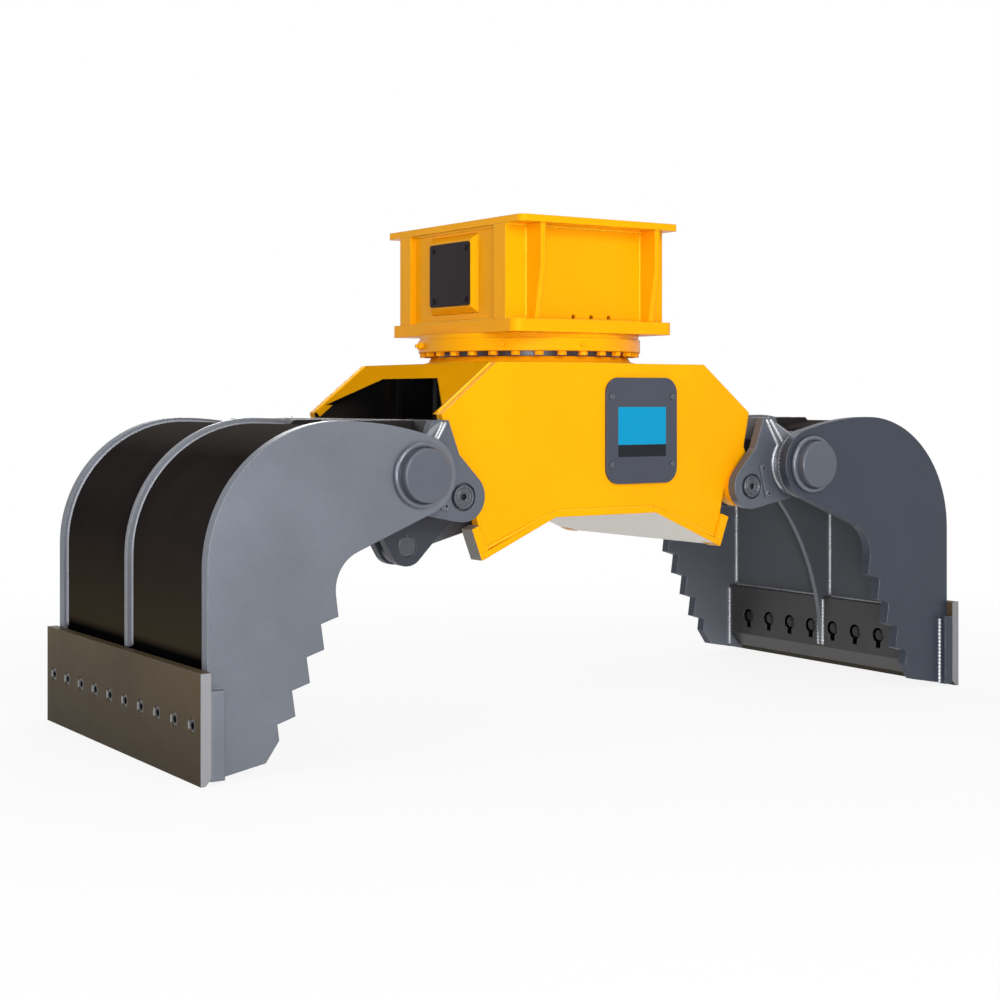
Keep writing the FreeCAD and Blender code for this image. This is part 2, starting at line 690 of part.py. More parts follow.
def wall_foot():
    """Where the closing plate's outer face meets the torque tube."""
    return polar(TUBE[0], TUBE[1], d.tube_radius, d.wall_foot_angle)


def lug_lever_outline():
    """Lever plate with the sync lug under it."""
    tube = (TUBE[0], TUBE[1], d.tube_radius)
    lobe = (PIVOT[0], PIVOT[1], d.lobe_radius)
    eye = (LEVER_PIN[0], LEVER_PIN[1], d.lever_eye_radius)
    lug = (LUG_PIN[0], LUG_PIN[1], d.lug_eye_radius)
    top = polar(TUBE[0], TUBE[1], d.tube_radius, d.lever_foot_angle)
    eye_top = tangent((top[0], top[1], 0.0), eye, -1)[1]
    eye_low, lobe_side = tangent(eye, lobe, -1)
    lobe_low, lug_side = tangent(lobe, lug, -1)
    lug_low, tube_low = tangent(lug, tube, -1)
    outline = Outline(*lug_low)
    outline.line(*tube_low)
    outline.arc(TUBE, top[0], top[1], True)
    outline.line(*eye_top)
    outline.arc(LEVER_PIN, eye_low[0], eye_low[1], False)
    outline.line(*lobe_side)
    outline.arc(PIVOT, lobe_low[0], lobe_low[1], False)
    outline.line(*lug_side)
    outline.arc(LUG_PIN, lug_low[0], lug_low[1], False)
    return outline.close()


# Jaw side plates, tube and caps
side_plate = plate("side_plate", side_plate_outline(), "side_plate_outer", "side_plate_thickness",
                   [("tube_x", "tube_z", "cap_radius")])

INNER_HALF = "side_plate_outer - side_plate_thickness"
tube_bar = cylinder("tube_bar", "tube_radius", "2 * ( %s )" % INNER_HALF, "Y",
                    x="tube_x", y="side_plate_thickness - side_plate_outer", z="tube_z")
tube_hole = cylinder("tube_hole", "tube_radius - tube_wall", "2 * ( %s )" % INNER_HALF, "Y",
                     x="tube_x", y="side_plate_thickness - side_plate_outer", z="tube_z")
on_both_jaws("torque_tube", [cut("tube", tube_bar, tube_hole)])

cap_disc = cylinder("cap_disc", "cap_radius", "side_plate_thickness + cap_proud", "Y",
                    x="tube_x", y="0 - side_plate_outer - cap_proud", z="tube_z")
cap_round = doc.addObject("Part::Chamfer", "cap")
cap_round.Base = cap_disc
doc.recompute()
cap_face = -d.side_plate_outer - d.cap_proud
rim = [index + 1 for index, edge in enumerate(cap_disc.Shape.Edges)
       if abs(edge.BoundBox.YMax - cap_face) < SMALL]
cap_round.Edges = [(index, d.cap_chamfer, d.cap_chamfer) for index in rim]
collar_disc = cylinder("collar_disc", "cap_collar_radius", "cap_collar_height", "Y",
                       x="tube_x", y="0 - side_plate_outer - cap_collar_height", z="tube_z")
collar_hole = cylinder("collar_hole", "cap_radius", "cap_collar_height", "Y",
                       x="tube_x", y="0 - side_plate_outer - cap_collar_height", z="tube_z")
collar = cut("collar", collar_disc, collar_hole)
on_both_jaws("tube_caps", both_sides("cap", cap_round) + both_sides("collar", collar))

# Jaw shell, ribs and backing bar
SHELL_DEPTH = d.shell_inset + d.shell_thickness
shell_band = plate("shell_band", band_outline(d.shell_inset, SHELL_DEPTH, d.bar_top, d.shell_end_x),
                   INNER_HALF, "2 * ( %s )" % INNER_HALF)
on_both_jaws("shell", [cut("shell", shell_band, tube_bar)])

rib_foot_z = d.blade_height + d.back_rib_gap
rib_end_x = d.tube_x + d.tube_radius
rib_outline = band_outline(d.shell_inset - d.back_rib_height, d.shell_inset, rib_foot_z, rib_end_x)
back_rib = plate("back_rib", rib_outline, "rib_thickness / 2", "rib_thickness")


def web_outline():
    """Inner rib: a curved free edge facing the load, the shell and the backing bar behind it."""
    centre = (d.web_arc_x, d.web_arc_z)
    inner_back, inner_top, inner_end = back_line(SHELL_DEPTH, rib_end_x)
    bar_face = d.back_x - d.bar_thickness
    reach = math.sqrt(d.web_arc_radius ** 2 - (inner_end[0] - centre[0]) ** 2)
    upper = (inner_end[0], centre[1] + reach)
    lower_x = centre[0] + math.sqrt(d.web_arc_radius ** 2 - (d.web_foot_z - centre[1]) ** 2)
    outline = Outline(bar_face, d.web_foot_z)
    outline.line(bar_face, d.bar_top)
    outline.line(inner_back[0], d.bar_top)
    outline.line(*inner_back)
    outline.arc(BEND, inner_top[0], inner_top[1], False)
    outline.arc(CROWN, inner_end[0], inner_end[1], False)
    outline.line(*upper)
    outline.arc(centre, lower_x, d.web_foot_z, True)
    return outline.close()


web = plate("web", web_outline(), "rib_thickness / 2", "rib_thickness")


def tail_outline():
    """Top rib: carries a lever plate's line over the tube and ends on the crown of the shell."""
    start = wall_foot()
    inner_end = back_line(d.shell_inset, d.shell_end_x)[2]
    toe = back_line(d.shell_inset, d.tail_end_x + d.tail_toe)[2]
    corner = polar(TUBE[0], TUBE[1], d.tube_radius, heading(TUBE, inner_end))
    outline = Outline(d.arm_outer_x, d.arm_top_z)
    outline.line(*start)
    outline.arc(TUBE, corner[0], corner[1], True)
    outline.line(*inner_end)
    outline.arc(CROWN, toe[0], toe[1], True)
    outline.line(d.tail_end_x, d.arm_top_z)
    return outline.close()


tails = []
for label, outer in (("near", "lever_near_outer"), ("mid", "lever_mid_outer"), ("far", "lever_far_outer")):
    tail = plate("tail_" + label, tail_outline(), outer, "lever_thickness")
    tails += both_sides("tail_" + label, tail)
on_both_jaws("ribs", [back_rib, web] + tails)

# Ears, levers, closing plate
ear = plate("ear", ear_outline(), "ear_outer", "ear_thickness", [("pivot_x", "pivot_z", "pivot_pin_radius")])
on_both_jaws("ear_plates", both_sides("ear", ear))

PIVOT_BORE = ("pivot_x", "pivot_z", "pivot_pin_radius")
LEVER_BORE = (LEVER_X, LEVER_Z, "lever_pin_radius")
LUG_BORE = (LUG_X, LUG_Z, "lever_pin_radius")
lever_near = plate("lever_near", lever_outline(), "lever_near_outer", "lever_thickness",
                   [PIVOT_BORE, LEVER_BORE])
lever_mid = plate("lever_mid", lever_outline(), "lever_mid_outer", "lever_thickness", [LEVER_BORE])
lever_far = plate("lever_far", lever_outline(), "lever_far_outer", "lever_thickness", [LEVER_BORE])
lever_pairs = both_sides("lever_mid", lever_mid) + both_sides("lever_far", lever_far)
node("right_lever_plates", both_sides("lever_near", lever_near) + lever_pairs)

# The left jaw's front pair carries the sync lug. Turned half a turn, the far pair comes to the front.
lug_near = plate("lug_near", lug_lever_outline(), "lever_near_outer", "lever_thickness",
                 [PIVOT_BORE, LEVER_BORE, LUG_BORE])
lug_mid = plate("lug_mid", lug_lever_outline(), "lever_mid_outer", "lever_thickness", [LEVER_BORE, LUG_BORE])
left_front = [mirrored("lug_near_far", lug_near), mirrored("lug_mid_far", lug_mid)]
node("left_lever_plates", left_front + [lever_near, lever_mid] + both_sides("lever_far_left", lever_far), 180)


def closing_outline():
    """Closing plate: from the tube up to the top of the ear arms."""
    foot = wall_foot()
    top = (d.arm_outer_x, d.arm_top_z)
    run = heading(foot, top)
    inner = polar(foot[0], foot[1], d.front_wall_thickness, run + 90)
    inner_top = crossing(inner, run, top, 180)
    reach = abs(inner[0] - TUBE[0])
    inner_foot = (inner[0], TUBE[1] + math.sqrt(d.tube_radius ** 2 - reach ** 2))
    outline = Outline(*foot)
    outline.line(*top)
    outline.line(*inner_top)
    outline.line(*inner_foot)
    outline.arc(TUBE, foot[0], foot[1], True)
    return outline.close()


EAR_INNER = "ear_outer - ear_thickness"
middle_wall = plate("middle_wall", closing_outline(), EAR_INNER, "2 * ( %s )" % EAR_INNER)
end_wall = plate("end_wall", closing_outline(), INNER_HALF, "%s - ear_outer" % INNER_HALF)
on_both_jaws("closing_plate", [middle_wall] + both_sides("end_wall", end_wall))

# Backing bar, blade and blade bolts
bar_face = d.back_x - d.bar_thickness
bar_outline = polygon([(d.back_x, d.bar_foot_z), (d.back_x, d.bar_top), (bar_face, d.bar_top),
                       (bar_face, d.bar_bevel_z), (d.back_x - d.bar_foot_width, d.bar_foot_z)])
bar_blank = plate("bar_blank", bar_outline, INNER_HALF, "2 * ( %s )" % INNER_HALF)
bolt_count = math.floor(d.blade_width / d.bolt_pitch)
bolt_ys = [(index - (bolt_count - 1) / 2) * d.bolt_pitch for index in range(bolt_count)]
inner_reach = d.side_plate_outer - d.side_plate_thickness
nutted_ys = [y for y in bolt_ys if abs(y) + d.pocket_radius < inner_reach]
end_ys = [y for y in bolt_ys if abs(y) + d.pocket_radius >= inner_reach]
SHANK_HOLE = "bolt_radius + bolt_play"
bar_hole = cylinder("bar_hole", SHANK_HOLE, "bar_thickness", "X",
                    x="back_x - bar_thickness", z="bolt_height")
pocket_round = cylinder("pocket_round", "pocket_radius", "pocket_depth", "X",
                        x="back_x - bar_thickness", z="bolt_height")
pocket_slot = box("pocket_slot", "pocket_depth", "2 * pocket_slot", "pocket_slot_drop",
                  x="back_x - bar_thickness", y="0 - pocket_slot",
                  z="bolt_height - pocket_slot_drop")
pocket = fuse("pocket", [pocket_round, pocket_slot, bar_hole])
pockets = group("pockets", [moved("pocket_%d" % i, pocket, y=y) for i, y in enumerate(nutted_ys)])
on_both_jaws("backing_bar", [cut("backing_bar", bar_blank, pockets)])

front_x = d.back_x + d.blade_thickness
blade_outline = polygon([(front_x, 0), (front_x, d.blade_height), (d.back_x, d.blade_height),
                         (d.back_x, d.blade_bevel), (front_x - (d.blade_thickness - d.blade_bevel), 0)])
blade_blank = plate("blade_blank", blade_outline, "blade_width / 2", "blade_width")
seat = cone("seat", "bolt_radius", "bolt_head_radius", "bolt_head_depth", "X",
            x="back_x + blade_thickness - bolt_head_depth", z="bolt_height")
shank_hole = cylinder("shank_hole", "bolt_radius", "blade_thickness - bolt_head_depth", "X",
                      x="back_x", z="bolt_height")
seat_tool = fuse("seat_tool", [seat, shank_hole])
seats = group("seats", [moved("seat_%d" % i, seat_tool, y=y) for i, y in enumerate(bolt_ys)])
on_both_jaws("blade", [cut("blade", blade_blank, seats)])

BOLT_END = "back_x - bar_thickness + pocket_depth - nut_length - bolt_end"
head_cone = cone("head_cone", "bolt_radius", "bolt_head_radius", "bolt_head_depth", "X",
                 x="back_x + blade_thickness - bolt_head_depth", z="bolt_height")
long_shank = cylinder("long_shank", "bolt_radius",
                      "back_x + blade_thickness - bolt_head_depth - ( %s )" % BOLT_END, "X",
                      x=BOLT_END, z="bolt_height")
short_shank = cylinder("short_shank", "bolt_radius", "blade_thickness - bolt_head_depth", "X",
                       x="back_x", z="bolt_height")
nut = doc.addObject("Part::Prism", "nut")
nut.Polygon = 6
nut.setExpression("Circumradius", bound("nut_across / sqrt ( 3 )"))
nut.setExpression("Height", bound("nut_length"))
nut.Placement.Rotation = FreeCAD.Rotation(FreeCAD.Vector(0, 1, 0), 90)
placed(nut, x="back_x - bar_thickness + pocket_depth - nut_length", z="bolt_height")
long_bolt = fuse("long_bolt", [head_cone, long_shank, nut])
short_bolt = fuse("short_bolt", [head_cone, short_shank])
bolts = [moved("bolt_%d" % i, long_bolt, y=y) for i, y in enumerate(nutted_ys)]
bolts += [moved("end_bolt_%d" % i, short_bolt, y=y) for i, y in enumerate(end_ys)]
on_both_jaws("blade_bolts", bolts)

end_bar = box("end_bar", "end_bar_width", "blade_width / 2 - side_plate_outer", "end_bar_top - end_bar_foot",
              x="back_x - end_bar_width", y="0 - blade_width / 2", z="end_bar_foot")
on_both_jaws("side_plates", both_sides("side_plate", side_plate) + both_sides("end_bar", end_bar))

# Pins and their keepers
PIN_LENGTH = "ear_outer - lever_near_outer + lever_thickness"
jaw_pin = cylinder("jaw_pin", "pivot_pin_radius", PIN_LENGTH, "Y",
                   x="pivot_x", y="0 - ear_outer", z="pivot_z")

LEVER_PIN_LENGTH = "lever_near_outer - lever_far_outer + lever_thickness"
lever_pin = cylinder("lever_pin", "lever_pin_radius", LEVER_PIN_LENGTH, "Y",
                     x=LEVER_X, y="0 - lever_near_outer", z=LEVER_Z)
LUG_PIN_LENGTH = "lever_near_outer - lever_mid_outer + lever_thickness"
lug_pin = cylinder("lug_pin", "lever_pin_radius", LUG_PIN_LENGTH, "Y",
                   x=LUG_X, y="0 - lever_near_outer", z=LUG_Z)
pins = both_sides("jaw_pin", jaw_pin) + both_sides("lever_pin", lever_pin)
node("right_pins", pins)
node("left_pins", pins + [mirrored("lug_pin_far", lug_pin)], 180)


def keeper_outline():
    """Flat keeper beside the pin, with round ends, along the line of its two screws."""
    low = (d.pivot_x + d.keeper_low_x, d.pivot_z + d.keeper_low_z)
    high = (d.pivot_x + d.keeper_high_x, d.pivot_z + d.keeper_high_z)
    half = d.keeper_width / 2
    run = heading(low, high)
    outline = Outline(*polar(low[0], low[1], half, run - 90))
    corner = polar(high[0], high[1], half, run - 90)
    outline.line(*corner)
    end = polar(high[0], high[1], half, run + 90)
    outline.arc(high, end[0], end[1], False)
    outline.line(*polar(low[0], low[1], half, run + 90))
    start = polar(low[0], low[1], half, run - 90)
    outline.arc(low, start[0], start[1], False)
    return outline.close()


keeper = plate("keeper", keeper_outline(), "ear_outer + keeper_thickness", "keeper_thickness")
KEEPER_FACE = "0 - ear_outer - keeper_thickness - screw_head"
keeper_pieces = [keeper]
for end in ("low", "high"):
    screw = cylinder("keeper_screw_" + end, "keeper_screw", "screw_head", "Y",
                     x="pivot_x + keeper_%s_x" % end, y=KEEPER_FACE, z="pivot_z + keeper_%s_z" % end)
    keeper_pieces.append(screw)
washer = cylinder("pin_washer", "washer_radius", "washer_thickness", "Y",
                  x="pivot_x", y="0 - ear_outer - washer_thickness", z="pivot_z")
pin_bolt = doc.addObject("Part::Prism", "pin_bolt")
pin_bolt.Polygon = 6
pin_bolt.setExpression("Circumradius", bound("pin_bolt_across / sqrt ( 3 )"))
pin_bolt.setExpression("Height", bound("pin_bolt_head"))
pin_bolt.Placement.Rotation = FreeCAD.Rotation(FreeCAD.Vector(1, 0, 0), -90)
placed(pin_bolt, x="pivot_x", y="0 - ear_outer - washer_thickness - pin_bolt_head", z="pivot_z")
keeper_pieces += [washer, pin_bolt]
keeper_sides = []
for piece in keeper_pieces:
    keeper_sides += both_sides(piece.Name, piece)
on_both_jaws("pin_keepers", keeper_sides)

# Body between the jaws
CHEEK_INNER = "cheek_outer - cheek_thickness"
body_low = [(-d.spike_x, d.spike_z), (-d.ridge_x, d.ridge_z), (d.ridge_x, d.ridge_z), (d.spike_x, d.spike_z)]
body_low_top = inset(body_low, -d.floor_thickness)
underside_blank = plate("underside_blank", polygon(body_low + body_low_top[::-1]),
                        "cheek_outer + lip", "2 * ( cheek_outer + lip )")
lug_notch = box("lug_notch", "spike_x", "lug_notch_outer - lug_notch_inner", "ridge_z",
                x="0 - lug_notch_x - spike_x", y="0 - lug_notch_outer", z="spike_z / 2")
link_slot = box("link_slot", "lug_notch_x + link_slot_end",
                "link_thickness + 2 * link_slot_gap", "ridge_z",
                x="0 - lug_notch_x", z="spike_z / 2",
                y="0 - ( lever_near_outer + lever_mid_outer - lever_thickness ) / 2 - link_thickness / 2 "
                  "- link_slot_gap")
underside = cut("underside", underside_blank, fuse("link_room", [lug_notch, link_slot]))
node("underside_plates", [underside])

foot_top = (d.foot_x, d.foot_z)
foot_low = (d.spike_x, d.spike_z)
foot_run = heading(foot_low, foot_top)
foot_points = [foot_low, foot_top, polar(foot_top[0], foot_top[1], d.floor_thickness, foot_run + 90),
               polar(foot_low[0], foot_low[1], d.floor_thickness, foot_run + 90)]
foot_blank = plate("foot_blank", polygon(foot_points), "cheek_outer + lip", "cheek_outer + lip - foot_inner")
foot = cut("foot", foot_blank, underside_blank)
feet = both_sides("foot", foot)
feet_right = group("feet_right", feet)

stop_points = [foot_low, polar(foot_low[0], foot_low[1], d.stop_thickness, foot_run - 90),
               polar(foot_top[0], foot_top[1], d.stop_thickness, foot_run - 90), foot_top]
stop_blank = plate("stop_blank", polygon(stop_points), "cheek_outer + lip", "cheek_outer + lip - foot_inner")
stop = cut("stop", stop_blank, underside_blank)
stops_right = group("stops_right", both_sides("stop", stop))
node("foot_plates", [feet_right, turned("feet_left", feet_right, 180), stops_right,
                     turned("stops_left", stops_right, 180)])


def cheek_outline():
    """Cheek: flat top, sloped ends, a waist, a hub round each pivot, and spikes along the underside."""
    low = body_low_top
    waist = (d.cheek_waist_x, d.cheek_waist_z, 0.0)
    hub = (PIVOT[0], PIVOT[1], d.hub_radius)
    hub_side = tangent(waist, hub, 1)[1]
    outer_foot = foot_points[2]
    hub_low = tangent(hub, (outer_foot[0], outer_foot[1], 0.0), -1)[0]
    spike = crossing(outer_foot, foot_run, low[2], heading(low[2], low[3]))
    outline = Outline(-d.cheek_top_x, d.cheek_top_z)
    outline.line(-d.cheek_corner_x, d.cheek_corner_z)
    outline.line(-d.cheek_waist_x, d.cheek_waist_z)
    outline.line(-hub_side[0], hub_side[1])
    outline.arc((-PIVOT[0], PIVOT[1]), -hub_low[0], hub_low[1], False)
    outline.line(-outer_foot[0], outer_foot[1])
    outline.line(-spike[0], spike[1])
    outline.line(*low[1])
    outline.line(*low[2])
    outline.line(*spike)
    outline.line(*outer_foot)
    outline.line(*hub_low)
    outline.arc(PIVOT, hub_side[0], hub_side[1], False)
    outline.line(d.cheek_waist_x, d.cheek_waist_z)
    outline.line(d.cheek_corner_x, d.cheek_corner_z)
    outline.line(d.cheek_top_x, d.cheek_top_z)
    return outline.close()


cheek_blank = plate("cheek_blank", cheek_outline(), "cheek_outer", "cheek_thickness")
hub_room = cylinder("hub_room", "hub_radius - hub_step", "cheek_thickness", "Y",
                    x="pivot_x", y="0 - cheek_outer", z="pivot_z")
hub_rooms = group("hub_rooms", [hub_room, mirrored("hub_room_left", hub_room, (1, 0, 0))])
cheek = cut("cheek", cheek_blank, hub_rooms)
node("cheek_plates", both_sides("cheek", cheek))

hub_bar = cylinder("hub_bar", "hub_radius - hub_step", "hub_outer - hub_inner", "Y",
                   x="pivot_x", y="0 - hub_outer", z="pivot_z")
hub_bore = cylinder("hub_bore", "pivot_pin_radius + bush_wall", "hub_outer - hub_inner", "Y",
                    x="pivot_x", y="0 - hub_outer", z="pivot_z")
hub = cut("hub", hub_bar, hub_bore)
hubs_right = group("hubs_right", both_sides("hub", hub))

bush_bar = cylinder("bush_bar", "pivot_pin_radius + bush_wall", "hub_outer - hub_inner", "Y",
                    x="pivot_x", y="0 - hub_outer", z="pivot_z")
bush_bore = cylinder("bush_bore", "pivot_pin_radius + pin_clearance", "hub_outer - hub_inner", "Y",
                     x="pivot_x", y="0 - hub_outer", z="pivot_z")
bush = cut("bush", bush_bar, bush_bore)
bushes_right = group("bushes_right", both_sides("bush", bush))
node("pivot_hubs", [hubs_right, turned("hubs_left", hubs_right, 180), bushes_right,
                    turned("bushes_left", bushes_right, 180)])

deck = box("deck", "2 * cheek_top_x", "2 * ( %s )" % CHEEK_INNER, "floor_thickness",
           x="0 - cheek_top_x", y="cheek_thickness - cheek_outer", z="cheek_top_z - floor_thickness")

slope = [(d.cheek_top_x, d.cheek_top_z), (d.cheek_corner_x, d.cheek_corner_z)]
slope_low = inset(slope, d.floor_thickness)
end_blank = plate("end_blank", polygon(slope + slope_low[::-1]), CHEEK_INNER, "2 * ( %s )" % CHEEK_INNER)
end_trimmed = cut("end_trimmed", end_blank, deck)
window_foot = d.cheek_corner_z - 2 * d.floor_thickness
window_outline = polygon([(d.window_high, d.window_top_z), (-d.window_high, d.window_top_z),
                          (-d.window_low, d.window_knee_z), (-d.window_low, window_foot),
                          (d.window_low, window_foot), (d.window_low, d.window_knee_z)])
window = padded("window", "YZ_Plane", window_outline, "cheek_corner_x")
window.setExpression("Placement.Base.x", bound("floor_thickness"))
end_plate = cut("end_plate", end_trimmed, window)
node("deck_plate", [deck])
node("sloped_end_plates", [end_plate, turned("end_plate_left", end_plate, 180)])

spine = box("spine", "2 * spine_x", "spine_thickness", "cheek_top_z - ridge_z - 2 * floor_thickness",
            x="0 - spine_x", y="0 - spine_thickness / 2", z="ridge_z + floor_thickness")
spine_cut = cut("spine_web", spine, end_blank)
stiffener = box("stiffener", "floor_thickness", "stiffener_depth",
                "cheek_top_z - ridge_z - floor_thickness",
                x="stiffener_x", y="cheek_thickness - cheek_outer", z="ridge_z")
stiffeners_right = group("stiffeners_right", both_sides("stiffener", stiffener))
node("inner_webs", [spine_cut, stiffeners_right, turned("stiffeners_left", stiffeners_right, 180)])

panel_outline = rounded(d.panel_width / 2, d.panel_height / 2, d.panel_corner, d.panel_x, d.panel_z)
panel_plate = plate("panel_plate", panel_outline, "cheek_outer + panel_thickness", "panel_thickness")
node("cover_plate", [panel_plate])
panel_screws = []
for side_x in (-1, 1):
    for side_z in (-1, 1):
        name = "panel_screw_%s%s" % ("ab"[side_x > 0], "cd"[side_z > 0])
        screw = cylinder(name, "screw_radius", "screw_head", "Y",
                         x="panel_x + %d * ( panel_width / 2 - screw_inset_x )" % side_x,
                         y="0 - cheek_outer - panel_thickness - screw_head",
                         z="panel_z + %d * ( panel_height / 2 - screw_inset_z )" % side_z)
        panel_screws.append(screw)
node("cover_plate_screws", panel_screws)

# Slewing ring on the deck
seat_cone = cone("seat_cone", "cone_low_radius", "cone_high_radius", "cone_height", z="cheek_top_z")
seat_bore = cylinder("seat_bore", "cone_bore", "cone_height", z="cheek_top_z")
node("ring_seat", [cut("ring_seat", seat_cone, seat_bore)])

RING_Z = "cheek_top_z + cone_height"
RACE_Z = "%s + outer_ring_lift" % RING_Z
BASE_Z = "%s + outer_ring_height + drum_height" % RACE_Z
base_z = d.cheek_top_z + d.cone_height + d.outer_ring_lift + d.outer_ring_height + d.drum_height


def gear_outline(teeth, root, tip, thickness, phase):
    """Straight-sided teeth between two radii; thickness at the pitch circle, phase in pitches."""
    pitch = d.gear_module * teeth / 2
    outline = None
    for index in range(int(teeth)):
        middle = FULL_TURN * (index + phase) / teeth
        for radius, side in ((root, -1), (tip, -1), (tip, 1), (root, 1)):
            growth = (pitch - radius) * math.tan(math.radians(d.flank_angle))
            if root > tip:
                growth = -growth
            half = math.degrees((thickness / 2 + growth) / radius)
            point = polar(0, 0, radius, middle + side * half)
            if outline is None:
                outline = Outline(*point)
            else:
                outline.line(*point)
    return outline.close()


tooth_thickness = math.pi * d.gear_module / 2 - d.gear_backlash
ring_pitch = d.gear_module * d.ring_teeth / 2
pinion_pitch = d.gear_module * d.pinion_teeth / 2
root_depth = d.gear_dedendum * d.gear_module
HALF_PITCH = 0.5
ring_hole = level("ring_hole", gear_outline(d.ring_teeth, ring_pitch + root_depth, ring_pitch - d.gear_module,
                                            tooth_thickness, HALF_PITCH),
                  RING_Z, "ring_gear_height")
inner_race = cylinder("inner_race", "race_radius - race_gap / 2", "ring_gear_height", z=RING_Z)
node("ring_gear", [cut("ring_gear", inner_race, ring_hole)])

outer_bar = cylinder("outer_bar", "outer_ring_radius", "outer_ring_height", z=RACE_Z)
outer_bore = cylinder("outer_bore", "race_radius + race_gap / 2", "outer_ring_height", z=RACE_Z)
outer_blank = cut("outer_blank", outer_bar, outer_bore)
race_bolt = cylinder("race_bolt_shank", "ring_bolt_radius", "outer_ring_height",
                     x="ring_bolt_circle", z=RACE_Z)
race_head = doc.addObject("Part::Prism", "race_bolt_head")
race_head.Polygon = 6
race_head.setExpression("Circumradius", bound("ring_bolt_head"))
race_head.setExpression("Height", bound("ring_bolt_head_height"))
placed(race_head, x="ring_bolt_circle", z="%s - ring_bolt_head_height" % RACE_Z)
race_bolt_piece = fuse("race_bolt", [race_bolt, race_head])
count = int(d.ring_bolt_count)
turns = [FULL_TURN * index / count for index in range(count)]
holes = group("race_holes", [turned("race_hole_%d" % i, race_bolt, turn) for i, turn in enumerate(turns)])
node("outer_race", [cut("outer_race", outer_blank, holes)])
node("race_bolts", [turned("race_bolt_%d" % i, race_bolt_piece, turn) for i, turn in enumerate(turns)])

DRUM_Z = "%s + outer_ring_height" % RACE_Z
drum_bar = cylinder("drum_bar", "drum_radius", "drum_height", z=DRUM_Z)
drum_bore = cylinder("drum_bore", "race_radius + race_gap / 2", "drum_height", z=DRUM_Z)
node("spacer_drum", [cut("spacer_drum", drum_bar, drum_bore)])


def radial(name, angle, radius, reach, start="0 - fitting_sink"):
    """Short round fitting that stands out of the outer race at an angle, half way up."""
    height = "%s + outer_ring_height / 2" % RACE_Z
    piece = cylinder(name, radius, reach, "X", x="outer_ring_radius + ( %s )" % start, z=height)
    return turned(name + "_turned", piece, angle)


fitting_body = radial("fitting_body", d.fitting_angle, "fitting_radius", "fitting_reach")
fitting_tip = radial("fitting_tip", d.fitting_angle, "fitting_radius / 2", "fitting_reach / 2",
                     "fitting_reach - fitting_sink")
plug_a = radial("plug_a", d.plug_angle, "plug_radius", "plug_reach")
plug_b = radial("plug_b", d.plug_angle + d.plug_spread, "plug_radius", "plug_reach")
fittings = [cut(piece.Name + "_seated", piece, outer_bar) for piece in (fitting_body, plug_a, plug_b)]
node("race_fittings", fittings + [fitting_tip])

# Head
MOTOR_Y = "gear_module * ( ring_teeth - pinion_teeth ) / 2"
base_outline = rounded(d.base_half_x, d.base_half_y, d.base_corner)
base_blank = level("base_blank", base_outline, BASE_Z, "base_thickness")
base_holes = [cylinder("base_hole", "base_bore", "base_thickness", z=BASE_Z),
              cylinder("shaft_hole", "shaft_radius + shaft_room", "base_thickness", y=MOTOR_Y, z=BASE_Z)]
node("head_base_plate", [cut("base_plate", base_blank, group("base_holes", base_holes))])

WALL_Z = "%s + base_thickness" % BASE_Z
wall_z = base_z + d.base_thickness
front_wall = box("front_wall", "2 * front_wall_half_x", "walls_thickness", "walls_height",
                 x="0 - front_wall_half_x", y="0 - front_wall_outer", z=WALL_Z)
foot_holes = []
for index in (-1, 0, 1):
    hole = cylinder("foot_hole_%d" % (index + 1), "foot_hole_radius", "walls_thickness", "Y",
                    x="foot_hole_x + %d * foot_hole_pitch" % index, y="0 - front_wall_outer",
                    z="%s + foot_hole_height" % WALL_Z)
    foot_holes.append(hole)
near_wall = cut("near_wall", front_wall, group("foot_holes", foot_holes))
side_wall = box("side_wall", "walls_thickness", "2 * ( front_wall_outer - walls_thickness )", "walls_height",
                x="side_wall_outer - walls_thickness", y="walls_thickness - front_wall_outer", z=WALL_Z)
post = box("post", "front_wall_half_x - side_wall_outer", "post_width - walls_thickness", "walls_height",
           x="side_wall_outer", y="walls_thickness - front_wall_outer", z=WALL_Z)
posts_right = group("posts_right", both_sides("post", post))
side_walls = [side_wall, turned("side_wall_left", side_wall, 180)]
posts = [posts_right, turned("posts_left", posts_right, 180)]
node("head_walls", [near_wall, mirrored("far_wall", front_wall)] + side_walls + posts)

walls_top = wall_z + d.walls_height
gusset_points = [(-d.front_wall_outer, wall_z), (-d.front_wall_outer, walls_top), (-d.gusset_top, walls_top),
                 (-d.gusset_top, walls_top - d.gusset_knee), (-d.gusset_foot, wall_z)]
gusset = padded("gusset", "YZ_Plane", polygon(gusset_points), "rib_thickness")
gusset.setExpression("Placement.Base.x", bound("gusset_x - rib_thickness / 2"))
gussets_near = group("gussets_near", [gusset, mirrored("gusset_left", gusset, (1, 0, 0))])
node("head_gussets", [gussets_near, turned("gussets_far", gussets_near, 180)])

hatch = doc.addObject("Part::Wedge", "hatch")
hatch_low = wall_z + d.hatch_low
hatch_high = wall_z + d.walls_height - d.hatch_high
HATCH_LOW = "%s + hatch_low" % WALL_Z
HATCH_HIGH = "%s + walls_height - hatch_high" % WALL_Z
HATCH_FORMULAS = {
    "Ymin": "side_wall_outer", "Ymax": "front_wall_half_x",
    "Xmin": "0 - hatch_half - hatch_bevel", "Xmax": "hatch_half + hatch_bevel",
    "X2min": "0 - hatch_half", "X2max": "hatch_half",
    "Zmin": HATCH_LOW, "Zmax": HATCH_HIGH,
    "Z2min": HATCH_LOW + " + hatch_bevel", "Z2max": HATCH_HIGH + " - hatch_bevel",
}
for side, formula in HATCH_FORMULAS.items():
    hatch.setExpression(side, bound(formula))
hatch.Placement.Rotation = FreeCAD.Rotation(FreeCAD.Vector(0, 0, 1), -90)
